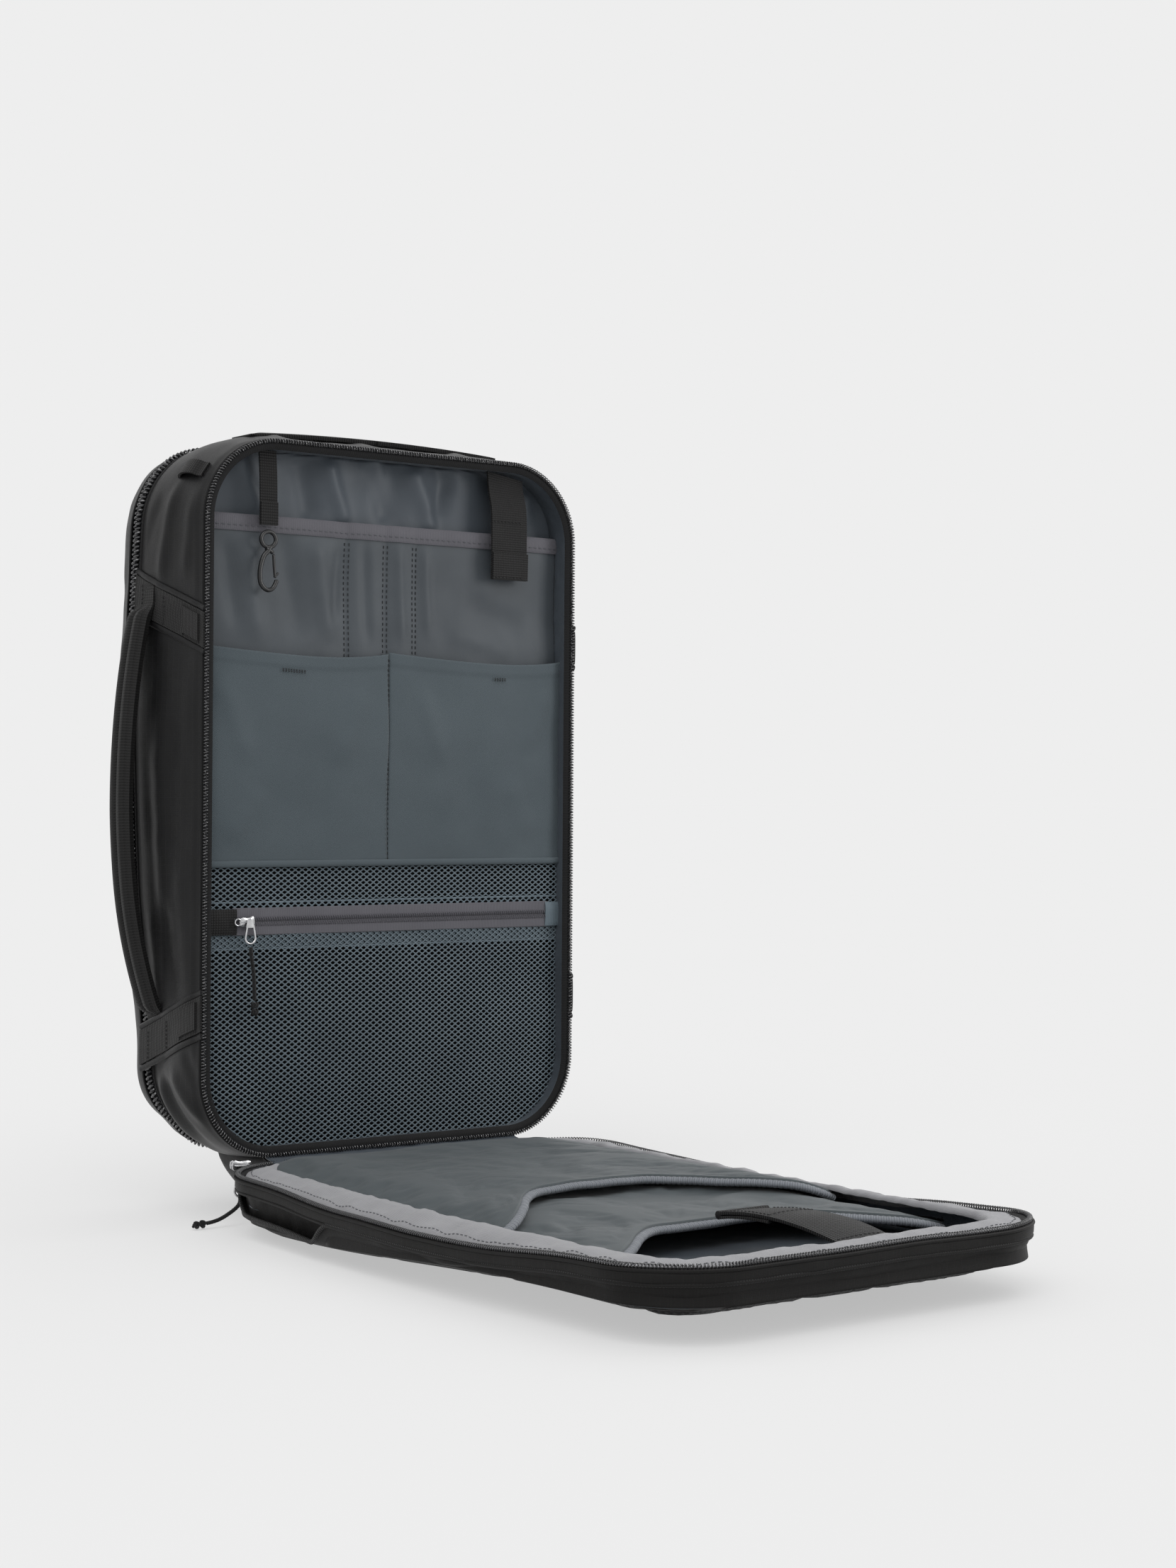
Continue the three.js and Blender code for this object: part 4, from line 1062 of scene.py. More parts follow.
def stretch_pockets():
    for side, box, edges, marks in (("left", STRETCH_LEFT, (-148, -2.0), (-89, -69)),
                                    ("right", STRETCH_RIGHT, (-2.0, 148), (84, 94))):
        low, high = box
        low_x, high_x = low[0] - (2.5 if side == "left" else 0.2), high[0] + (2.5 if side == "right" else 0.2)
        s, t = np.meshgrid(np.linspace(0, 1, 90), np.linspace(0, 1, 110), indexing="ij")
        x = low_x + (high_x - low_x) * s
        top = high[2] + stretch_sag(x, low_x, high_x)
        z = low[2] - 2 + (top - low[2] + 2) * t
        belly = pocket_belly(x, edges, 0.45)

        def depth(x, z, belly, t):
            where = upright_place(x, z)
            y = low[1] + 2.2 - 3.0 * belly * np.sin(math.pi * np.clip(t, 0.03, 1) ** 0.8 * 0.62)
            return y + crumple(where, 60, 1.4, 11) + crumple(where, 24, 0.5, 12)

        y = depth(x, z, belly, t)
        y = with_folds(y, x, z, (
            ((-136, 366), (-110, 300), 8, -1.6), ((-20, 366), (-44, 300), 8, -1.4),
            ((-130, 250), (-100, 290), 9, -1.3), ((-60, 244), (-50, 330), 10, 1.0),
            ((20, 366), (44, 300), 8, -1.5), ((134, 366), (112, 310), 8, -1.6),
            ((120, 250), (96, 300), 10, -1.2), ((60, 244), (64, 330), 12, 1.1)))
        hem = np.clip((t - 0.93) / 0.02, 0, 1)
        y = y - 0.7 * hem
        piece = sheet_piece(f"stretch_cloth_{side}", np.stack([x, y, z], -1), 1.3, STRETCH, crease=SMOOTH)
        settle(piece, "shell", "stretch_teal", f"stretch_pocket_{side}")
        thread = Bits()
        for row in (0, 0.8, 1.6):
            xs = np.linspace(*marks, 30)
            zs = high[2] + stretch_sag(xs, low_x, high_x) - BARTACK_DROP - row
            ts = (zs - low[2] + 2) / (high[2] + stretch_sag(xs, low_x, high_x) - low[2] + 2)
            ys = depth(xs, zs, pocket_belly(xs, edges, 0.45), ts) - 1.5
            add_stitches(thread, np.stack([xs, ys, zs], 1), 1.8, 0.3, 0.6)
        settle(thread.make(f"bartack_{side}", BLACK_THREAD), "shell", "stretch_teal")
    thread = Bits()
    zs = np.linspace(STRETCH_LEFT[0][2], STRETCH_LEFT[1][2] - 3, 60)
    line = np.stack([np.full_like(zs, -2.0 - 0.2), np.full_like(zs, STRETCH_LEFT[0][1] + 1.6), zs], 1)
    add_stitches(thread, line, 2.2, 1.2, 0.55)
    settle(thread.make("stretch_thread", BLACK_THREAD), "shell", "stretch_teal")
    low, high = corners("pocket_base_seam")
    xs = np.linspace(-145.5, 145.5, 120)
    y = np.full_like(xs, STRETCH_LEFT[0][1] + 1.2) + crumple(np.stack([xs, xs * 0, xs * 0], 1), 30, 0.6)
    line = np.stack([xs, y, np.full_like(xs, (low[2] + high[2]) / 2)], 1)
    settle(tube_piece("pocket_seam", line, 4.6, STRETCH, 2.0, 10, up=FRONT), "shell", "lining_slate",
           "pocket_base_seam")


MESH_PITCH, MESH_ROW = 5.4, 1.92
STRAND_WIDTH, STRAND_THICK = 1.2, 0.75


def lattice(bits, low, high, inset, surface, phase=0.0):
    """Knitted mesh between two heights: two families of slanted strands that meet at every row."""
    rise = high - low
    rows = int(round(rise / MESH_ROW))
    row_height = rise / rows
    reach = HALF_WIDTH - inset
    count = int(2 * reach / MESH_PITCH) + rows + 4
    for slope in (-1, 1):
        for k in range(-rows - 2, count):
            start = -reach + (k + phase) * MESH_PITCH + (0 if slope > 0 else MESH_PITCH * (rows // 2))
            step = np.arange(rows * 2 + 1) / 2
            x = start + slope * step * MESH_PITCH / 2
            z = low + step * row_height
            inside = np.abs(x) <= half_width_at(z, inset) + 0.4
            for run in np.split(np.arange(len(x)), np.where(np.diff(inside.astype(int)))[0] + 1):
                if len(run) < 3 or not inside[run[0]]:
                    continue
                line = np.stack([x[run], surface(x[run], z[run]), z[run]], 1)
                knots = 1 + 0.28 * np.cos(2 * math.pi * step[run])
                add_tube(bits, line, STRAND_WIDTH * knots, STRAND_THICK, 5, up=FRONT)
    return bits


def mesh_pocket_y(x, z):
    place = upright_place(x, z)
    t = np.clip((z - MESH_BOX[0][2]) / (MESH_BOX[1][2] - MESH_BOX[0][2]), 0, 1)
    belly = (1 - (np.abs(x) / 150) ** 4) * np.sin(math.pi * (0.08 + 0.84 * t)) ** 0.7
    return MESH_BOX[0][1] + 2.0 - 2.6 * belly + crumple(place, 45, 1.2, 21)


def mesh_parts():
    low, high = MESH_BOX
    bits = lattice(Bits(), low[2] - 1, high[2], 5.0, mesh_pocket_y)
    settle(bits.make("mesh_pocket_net", MESH, SMOOTH), "shell", "mesh_teal", "mesh_pocket")
    hem = lattice(Bits(), high[2] - 9.6, high[2], 5.0, lambda x, z: mesh_pocket_y(x, z) + 1.0, phase=0.5)
    xs = np.linspace(-144, 144, 140)
    for z, thick in ((high[2] - 0.2, 1.3), (high[2] - 9.8, 0.9)):
        add_tube(hem, np.stack([xs, mesh_pocket_y(xs, np.full_like(xs, z)) + 0.3, np.full_like(xs, z)], 1),
                 thick, 1.0, 6, up=FRONT)
    settle(hem.make("mesh_pocket_hem", MESH, SMOOTH), "shell", "mesh_teal")
    band_low, band_high = corners("mesh_band")

    def band_y(x, z):
        return band_low[1] + 1.4 + crumple(upright_place(x, z), 40, 0.9, 22)

    band = lattice(Bits(), band_low[2] - 0.5, band_high[2] + 1.5, 5.0, band_y)
    for z in (band_low[2] - 0.3, band_low[2] + 4.5):
        add_tube(band, np.stack([xs, band_y(xs, np.full_like(xs, z)) + 0.2, np.full_like(xs, z)], 1), 1.3,
                 1.0, 6,
                 up=FRONT)
    settle(band.make("mesh_band_net", MESH, SMOOTH), "shell", "mesh_teal", "mesh_band")
    # Painted shade: near-black sheets just behind the mesh band and the mesh pocket darken their holes, as
    # the deep pocket's shade would.
    x, z = wide_grid(band_low[2] - 1, band_high[2] + 2, 5.4, 120, 10)
    grid = np.stack([x, band_y(x, z) + 2.4, z], -1)
    settle(sheet_piece("mesh_band_painted_shade", grid, 0.8, MESH_SHADE, crease=SMOOTH), "shell", "lining_slate")
    x, z = wide_grid(low[2] - 1, high[2] + 4, 5.4, 120, 70)
    grid = np.stack([x, mesh_pocket_y(x, z) + 3.2, z], -1)
    settle(sheet_piece("mesh_pocket_painted_shade", grid, 0.8, MESH_SHADE, crease=SMOOTH), "shell", "lining_slate")


def pocket_zip():
    low, high = corners("inner_zip_tape")
    middle = (low[2] + high[2]) / 2
    xs = np.linspace(low[0] - 1, high[0] + 1, 150)
    front = low[1]
    profile = [(0.9, -9.2), (-0.1, -8.6), (-0.3, -4), (-0.2, -1.0), (0.5, -0.3), (0.5, 0.3), (-0.2, 1.0),
               (-0.3, 4),
               (-0.1, 8.6), (0.9, 9.2)]
    sag = crumple(np.stack([xs, xs * 0, xs * 0], 1), 60, 0.7, 31)
    rows = [np.stack([xs, front + back + sag, np.full_like(xs, middle + up)], 1) for back, up in profile]
    settle(sheet_piece("pocket_zip_tape", np.stack(rows, 1), 0.7, GREY_TAPE), "shell", "tape_grey",
           "inner_zip_tape")
    teeth = Bits()
    for sign in (-1, 1):
        line = np.stack([xs, front - 0.5 + sag, np.full_like(xs, middle + sign * 1.65)], 1)
        path = coil(line, np.broadcast_to((0.0, 0.0, 1.0), line.shape),
                    np.broadcast_to((0.0, -1.0, 0.0), line.shape), 1.8, 2.4, 1.1,
                    phase=0.0 if sign > 0 else math.pi)
        add_tube(teeth, path, 0.62, sides=COIL_SIDES)
    settle(teeth.make("pocket_zip_coil", GREY_TAPE, SMOOTH), "shell", "tape_grey", "inner_zip_coil")
    for side, finish, slot_name in (("left", BELT, "webbing_black"), ("right", MESH, "mesh_teal")):
        tab_low, tab_high = corners(f"inner_zip_tab_{side}")
        s, t = np.meshgrid(np.linspace(0, 1, 16), np.linspace(0, 1, 10), indexing="ij")
        x = tab_low[0] - (3.5 if side == "left" else 1.5) + (tab_high[0] - tab_low[0] + 5) * s
        z = tab_low[2] - 0.6 + (tab_high[2] - tab_low[2] + 1.2) * t
        y = tab_low[1] - 0.6 - 0.9 * np.sin(math.pi * t) ** 0.4 + crumple(np.stack([x, x * 0, z], -1), 9,
                                                                          0.5, 33)
        piece = sheet_piece(f"zip_end_{side}", np.stack([x, y, z], -1), 1.2, finish)
        settle(piece, "shell", slot_name, f"inner_zip_tab_{side}")


def leash_parts():
    low, high = corners("key_leash")
    x = (low[0] + high[0]) / 2
    path = smooth_path([[x, low[1] + 2.6, high[2] + 2], [x, low[1] + 1.2, high[2] - 14],
                        [x, low[1] + 0.6, 480],
                        [x, low[1] + 0.6, low[2] + 1]], 1.4)
    bits = Bits()
    for shift, first in ((0.0, 0), (-1.2, len(path) - 12)):
        part = path[first:].copy()
        part[:, 1] += shift
        face = part[:, None] + np.linspace(-6.5, 6.5, 9)[None, :, None] * np.array([1.0, 0, 0])
        points, faces, uv = slab(face, 1.3)
        bits.add(points, faces, uv)
    piece = bits.make("leash_webbing", BELT)
    settle(piece, "leash", "webbing_black", "key_leash")
    low, high = corners("pull_strap")
    path = smooth_path([[94, high[1] - 0.6, high[2] + 3], [95, high[1] - 1.2, high[2] - 8],
                        [96, low[1] + 0.4, 486],
                        [96, low[1] - 0.4, 462], [96, low[1], low[2] + 1]], 1.6)
    bits = Bits()
    for shift, first in ((0.0, 0), (-1.7, len(path) - 13)):
        part = path[first:].copy()
        part[:, 1] += shift
        slope = np.linspace(-15, 15, 15)
        face = part[:, None] + slope[None, :, None] * np.array([1.0, 0, 0])
        top = np.clip((face[..., 2] - (high[2] - 12)) / 12, 0, 1)
        face[..., 2] += top * slope[None, :] * -0.16
        points, faces, uv = slab(face, 1.6)
        bits.add(points, faces, uv)
    settle(bits.make("pull_webbing", PULL_BELT), "webbing_pull", "webbing_black", "pull_strap")
    thread = Bits()
    for z, back in ((low[2] + 16.5, 0.7), (low[2] + 2.5, 2.3), (478, 0.6)):
        xs = np.linspace(83, 109, 20)
        add_stitches(thread, np.stack([xs, np.full_like(xs, low[1] - back + 0.3), np.full_like(xs, z)], 1),
                     2.2, 0.9,
                     0.6)
    settle(thread.make("pull_thread", BLACK_THREAD), "webbing_pull", "webbing_black")


def snap_hook_parts():
    low, high = corners("snap_hook")
    x, y = -100.0, (low[1] + high[1]) / 2
    eye = high[2] - 7.0
    turn = np.linspace(0, 2 * math.pi, 33)[:-1]
    ring_line = np.stack([x + 5.6 * np.cos(turn), np.full_like(turn, y), eye + 5.2 * np.sin(turn)], 1)
    bits = add_tube(Bits(), ring_line, 2.9, 3.0, 10, closed=True, up=FRONT)
    neck = smooth_path([[x + 1.5, y, eye - 4.6], [x - 0.5, y, eye - 8], [x - 3.4, y, eye - 11],
                        [x - 5.6, y, eye - 17], [x - 6.5, y, eye - 24], [x - 5.4, y, eye - 30],
                        [x - 1.2, y, eye - 33.6], [x + 3.2, y, eye - 32.6], [x + 5.7, y, eye - 28.6],
                        [x + 6.3, y, eye - 27.0]], 0.9)
    taper = 3.5 - 0.5 * np.linspace(0, 1, len(neck))
    add_tube(bits, neck, taper, 3.2, 10, up=FRONT)
    add_tube(bits, np.array([[x - 1.8, y, eye - 6], [x + 1.6, y, eye - 7.6], [x + 3.2, y, eye - 8.8]]),
             [3.4, 3.0, 2.6], 3.0, 10, up=FRONT)
    settle(bits.make("hook_body", PLASTIC, 60), "hook", "plastic_black", "snap_hook")
    gate_low, gate_high = corners("snap_gate")
    bits = Bits()
    rod = smooth_path([[gate_low[0] + 1.4, y, gate_high[2] - 0.6],
                       [gate_high[0] - 1.8, y, (gate_low + gate_high)[2] / 2],
                       [gate_high[0] - 1.0, y, gate_low[2] + 0.8]], 1.0)
    add_tube(bits, rod, 2.0, 2.2, 8, up=FRONT)
    nose = smooth_path([[gate_high[0] - 1.2, y, gate_low[2] + 2.4],
                        [gate_high[0] + 0.4, y, gate_low[2] + 2.6],
                        [gate_high[0] + 1.3, y, gate_low[2] + 4.0]], 0.5)
    add_tube(bits, nose, 1.5, 1.7, 8, up=FRONT)
    settle(bits.make("hook_gate_arm", PLASTIC, 60), "gate", "plastic_black", "snap_gate")


# ---------------------------------------------------------------- lid

LID_ZIP = corners("lid_zip")
LID_NEAR, LID_FAR = LID_ZIP[1][1], LID_ZIP[0][1]
SLOT_FAR = -194.0
SIDE_BOW, RIM_SAG, RIM_RISE = 6.0, 6.5, 3.5
HULL_RISE, HULL_REACH = 13.0, 104.0
LAPTOP_SLEEVE, TABLET_SLEEVE = corners("laptop_sleeve"), corners("tablet_sleeve")
UP = (0, 0, 1)


def lid_outline(step):
    """Round the lid, with its long sides bowed out a little."""
    flat = rounded(HALF_WIDTH, LID_FAR, LID_NEAR, CORNER_RADIUS, step)
    t = np.clip((LID_NEAR - flat[:, 1]) / (LID_NEAR - LID_FAR), 0, 1)
    bow = SIDE_BOW * np.sin(math.pi * t) ** 2
    flat[:, 0] += np.clip(flat[:, 0] / (HALF_WIDTH - 20), -1, 1) ** 3 * bow
    return flat


def rim_drop(flat):
    """How far the rim hangs below its full height: the soft sides sag between the corners."""
    t = np.clip((LID_NEAR - flat[..., 1]) / (LID_NEAR - LID_FAR), 0, 1)
    side = np.clip((np.abs(flat[..., 0]) - 90) / 50, 0, 1)
    place = np.stack([flat[..., 0], flat[..., 1], np.zeros_like(flat[..., 0])], -1)
    return RIM_SAG * np.sin(math.pi * t) ** 2 * side + crumple(place, 60, 1.1, 41) - far_lift(flat[..., 1])


def far_lift(y):
    """The rim stands a little higher towards the far end."""
    return RIM_RISE * ease((-340 - y) / 180)


def hull_lift(x, y):
    """The padded underside curves up towards its far and long edges, like a hull."""
    inside = rounded_distance(x, y, HALF_WIDTH, LID_FAR, LID_NEAR, CORNER_RADIUS)
    return HULL_RISE * ease((-105 - y) / 300) * np.clip((HULL_REACH - inside) / (HULL_REACH - 22), 0, 1)


def lid_ring(flat, profile):
    """A profile of (inset, height) carried round the lid's outline, following its sagging rim above z 18."""
    grid = carried(flat, profile, lying)
    share = np.clip((grid[..., 2] - 18) / 12, 0, 1)
    grid[..., 2] -= share * rim_drop(flat)[:, None]
    return grid


def slot_share(flat):
    """1 along the stow slots in both long sides, 0 elsewhere, with soft ends."""
    y = flat[..., 1]
    into = np.clip((LID_NEAR - 8 - y) / 22, 0, 1) * np.clip((y - SLOT_FAR + 12) / 26, 0, 1)
    return into * into * (3 - 2 * into) * (np.abs(flat[..., 0]) > 120)


def lid_walls():
    flat = lid_outline(2.5)
    heights = np.linspace(0, 1, 22)
    slot = slot_share(flat)
    top = 30.5 - 15.0 * slot
    z = 4.0 + (top[:, None] - 4.0) * heights[None, :]
    inset = 1.2 + 17.0 * np.clip(1 - (z - 4) / 26, 0, 1) ** 2.0
    near_corner = np.clip((flat[:, 1] - (LID_NEAR - 70)) / 60, 0, 1)[:, None]
    inset = inset + 7 * near_corner * np.clip(1 - (z - 4) / 24, 0, 1)
    inset = inset - 3.4 * slot[:, None] * heights[None, :] ** 2
    out = outwards(flat)[:, None]
    ground = flat[:, None] - out * inset[..., None]
    grid = lying(ground, z)
    puff = crumple(grid, 42, 1.7, 51) + crumple(grid, 15, 0.8, 52)
    s = run_lengths(np.concatenate([flat, flat[:1]]))[:-1][:, None]
    puff = with_folds(puff, s, z, (
        ((350, 28), (450, 8), 5, 1.8), ((640, 30), (560, 8), 6, 2.2), ((900, 29), (980, 9), 5, -1.8),
        ((240, 26), (200, 8), 5, 1.6), ((1180, 28), (1100, 10), 5, 1.8), ((60, 26), (130, 9), 6, -1.6)))
    calm = np.sin(math.pi * np.clip(heights, 0.0, 1.0)) ** 0.5
    grid = grid + lying(out, 0) * (puff * calm[None, :])[..., None]
    grid[..., 2] += (1 - heights)[None, :] * hull_lift(grid[..., 0], grid[..., 1])
    grid[..., 2] -= heights[None, :] * rim_drop(flat)[:, None]
    piece = sheet_piece("lid_side_cloth", grid, 1.2, LID_SHELL, closed=True, crease=SMOOTH)
    settle(piece, "lid", "shell_black", "lid_tray")
    lip = Bits()
    add_tube(lip, grid[:, -1] + lying(outwards(flat), 0) * 0.3, 2.6, 3.2, 8, closed=True, up=UP)
    settle(lip.make("slot_binding", BELT, SMOOTH), "lid", "webbing_black")
    inner = lid_ring(flat, [(2.4 + 1.5 * k / 9, 8.5 + 23.0 * k / 9) for k in range(10)])
    inner[..., 2] += np.linspace(1, 0, 10)[None, :] * hull_lift(inner[..., 0], inner[..., 1])
    recess = slot[:, None] * np.linspace(1.0, 0.25, 10)[None, :] * 8.0
    recess = recess + crumple(inner, 14, 1.4, 53) * slot[:, None]
    inner = inner - lying(out, 0) * recess[..., None]
    settle(sheet_piece("slot_cloth", inner, 1.0, LID_SHELL, closed=True, crease=SMOOTH), "lid", "shell_black")
    x, y = filled_grid(HALF_WIDTH - 16, LID_FAR + 16, LID_NEAR - 16, CORNER_RADIUS - 16, 60, 90)
    base = np.stack([x, y, np.maximum(15.5, 5.6 + hull_lift(x, y))], -1)
    settle(sheet_piece("lid_base_cloth", base, 1.0, LID_SHELL, crease=SMOOTH), "lid", "shell_black")
    strip = lid_ring(flat, [(1.5, 30.0), (0.2, 30.6), (-0.6, 32.5), (-0.7, 35.2), (-0.2, 37.6), (0.9, 38.9)])
    strip = strip + lying(out, 0) * (crumple(strip, 24, 0.5, 54))[..., None]
    settle(sheet_piece("lid_rim_strip", strip, 1.1, LID_SHELL, closed=True, crease=SMOOTH), "lid",
           "shell_black")
    for name, inset_at, z_at, width in (("lid_rim_piping", -0.4, 37.6, 2.0),
                                        ("lid_strip_seam", 0.3, 30.2, 1.8)):
        line = lid_ring(flat, [(inset_at, z_at)])[:, 0]
        settle(tube_piece(name, line, width, LID_SHELL, closed=True, up=UP), "lid", "shell_black")
    # Painted shade: near-black sheets deep inside the stow slots stand in for the shade in their recess.
    dark = lid_ring(flat, [(14 + 3.0 * k / 5, 10 + 16.0 * k / 5) for k in range(6)])
    keep = np.where(slot > 0.02)[0]
    for number, run in enumerate(np.split(keep, np.where(np.diff(keep) > 1)[0] + 1), 1):
        if len(run) > 4:
            settle(sheet_piece(f"slot_painted_shade_{number}", dark[run], 0.8, MESH_SHADE), "lid", "shell_black")


def lid_zip():
    flat = lid_outline(2.5)
    tape = lid_ring(flat, [(0.8, 37.8), (2.2, 38.9), (4.6, 38.9), (6.8, 37.4)])
    settle(sheet_piece("lid_zip_tape", tape, 0.7, BLACK_TAPE, closed=True), "lid", "zip_black", "lid_zip")
    path = lid_ring(flat, [(1.6, 39.9)])[:, 0]
    path = np.concatenate([path, path[:1]])
    side = lying(outwards(flat), 0.0)
    side = np.concatenate([side, side[:1]])
    line = coil(path, side, np.broadcast_to(np.array(UP, float), path.shape), *FACE_COIL)
    teeth = add_tube(Bits(), line, FACE_WIRE, sides=COIL_SIDES)
    settle(teeth.make("lid_zip_coil", TEETH, SMOOTH), "lid", "zip_black")


def lid_facing():
    """The pale tape inside the zip: stitched at its outer edge, puckered, open at the hinge."""
    flat = lid_outline(1.6)
    profile = [(5.8, 36.6), (6.8, 38.6), (10, 40.0), (14, 41.2), (18, 42.2), (22, 42.8), (26, 42.4),
               (28.5, 39.5)]
    across = np.linspace(0, 1, len(profile))[None, :]
    grid = carried(flat, profile, lying)
    grid[..., 2] -= (1 - across) * rim_drop(flat)[:, None]
    ripple = crumple(grid, 13, 2.1, 61) * np.sin(math.pi * (0.12 + 0.8 * across)) + crumple(grid, 5, 0.5,
                                                                                            62) * across
    grid[..., 2] += ripple
    grid -= lying(outwards(flat), 0)[:, None] * (crumple(grid, 22, 1.6, 63) * across)[..., None]
    keep = np.where(grid[:, 0, 1] < LID_NEAR - 9)[0]
    order = np.roll(keep, -int(np.argmax(np.diff(keep)) + 1)) if np.any(np.diff(keep) > 1) else keep
    piece = sheet_piece("lid_facing_tape", grid[order], 0.9, FACING, crease=SMOOTH)
    settle(piece, "lid", "facing_pale", "lid_facing")
    thread = Bits()
    line = grid[order][:, 2] + np.array([0, 0, 0.35])
    add_stitches(thread, line, 2.4, 1.6, 0.5, up=UP)
    settle(thread.make("facing_thread", GREY_THREAD), "lid", "facing_pale")


def lid_interior():
    flat = lid_outline(3.0)
    wall = lid_ring(flat, [(7.0, 37.2), (5.6, 34), (4.6, 29), (5.2, 25), (8.0, 22.8), (13, 21.8)])
    wall = wall - lying(outwards(flat), 0)[:, None] * (crumple(wall, 20, 1.2, 71)
                                                       + 10.5 * slot_share(flat)[:, None])[..., None]
    settle(sheet_piece("lid_side_lining", wall, 0.8, LINING, closed=True, crease=SMOOTH), "lid",
           "lining_slate")
    low, high = corners("lid_lining")
    t = np.linspace(0, 1, 150)
    y = low[1] - 1 + (high[1] - low[1] + 2) * t
    radius = CORNER_RADIUS - 9
    past = np.maximum(np.maximum(low[1] + radius - y, y - high[1] + radius), 0)
    half = high[0] - radius + np.sqrt(np.maximum(radius ** 2 - past ** 2, 0)) + 1.5
    s = np.linspace(-1, 1, 110)
    x = s[:, None] * half[None, :]
    yy = np.broadcast_to(y, x.shape)
    place = level_place(x, yy)
    z = low[2] + 0.8 + crumple(place, 50, 1.6, 72) + crumple(place, 16, 0.7, 73)
    for start, end, width, depth in (((-100, -505), (-30, -400), 7, 3.2), ((30, -516), (60, -420), 8, 3.0),
                                     ((120, -490), (50, -440), 7, 2.8), ((-20, -512), (10, -430), 6, -1.2),
                                     ((90, -508), (110, -400), 8, 2.6), ((-130, -450), (-70, -420), 7, 2.4)):
        z = z + np.maximum(fold(x, yy, start, end, width, depth), -0.8)
    floor_grid = np.stack([x, yy, np.maximum(z, 8.0 + hull_lift(x, yy))], -1)
    piece = sheet_piece("lid_floor_lining", floor_grid, 1.0, LINING, crease=SMOOTH)
    settle(piece, "lid", "lining_slate", "lid_lining")


def scoop(x, side_y, middle_y, half):
    """A sleeve's open edge: deep at both sides, scooped towards the hinge in the middle."""
    t = np.clip((np.abs(x) - 34) / (half - 34), 0, 1)
    return middle_y + (side_y - middle_y) * t * t * (3 - 2 * t)


def sleeve(node, box, side_y, middle_y, top_z, puff, seed):
    """A padded sleeve: sewn down at its sides and at the hinge, open along its scooped and bound edge."""
    half = box[1][0] + 1.5
    near = LID_NEAR - 5.0
    s, t = np.meshgrid(np.linspace(-1, 1, 120), np.linspace(0, 1, 130), indexing="ij")
    x = s * half
    edge = scoop(x, side_y, middle_y, half)
    y = near + (edge - near) * t
    near_fall = np.clip((near - y) / 30, 0, 1)
    side_fall = np.clip((half - np.abs(x)) / 38, 0, 1)
    crown = (1 - (1 - near_fall) ** 2) * (1 - (1 - side_fall) ** 2)
    place = level_place(x, y)
    corner = np.clip((near - y) / 46, 0, 1)
    x = x * (1 - 0.16 * (1 - corner) ** 2)
    z = top_z - puff + puff * crown + crumple(place, 75, 1.8, seed) * crown + crumple(place, 24, 0.5,
                                                                                      seed + 1)
    lift = np.clip((t - 0.8) / 0.2, 0, 1)
    z = z + 1.2 * lift * crown
    held = (near_fall < 0.15) | (side_fall < 0.15) | (t > 0.97)
    grid = relaxed(np.stack([x, y, z], -1), held, 0.004, 1.2, 10)
    piece = sheet_piece(node + "_pad", grid, 3.0, PADDED, crease=SMOOTH)
    settle(piece, "lid", "padded_slate", node)
    rim = grid[:, -1]
    line = spaced(rim + np.array([0, -0.5, -0.6]), 0.9)
    ribs = 1 + 0.06 * np.cos(2 * math.pi * run_lengths(line) / 3.4)
    settle(tube_piece(node + "_edge", line, 8.0 * ribs, BINDING, 4.8 * ribs, 14, up=UP), "lid", "tape_grey",
           node + "_binding")
    thread = Bits()
    back = np.stack([rim[:, 0], rim[:, 1] + 5.2, rim[:, 2] + 0.5], 1)
    add_stitches(thread, back, 2.6, 1.5, 0.5, up=UP)
    settle(thread.make(node + "_thread", GREY_THREAD), "lid", "tape_grey")


def sleeves():
    sleeve("laptop_sleeve", LAPTOP_SLEEVE, -440, -378, 34.5, 5.0, 81)
    sleeve("tablet_sleeve", TABLET_SLEEVE, -344, -262, 42.5, 7.0, 91)


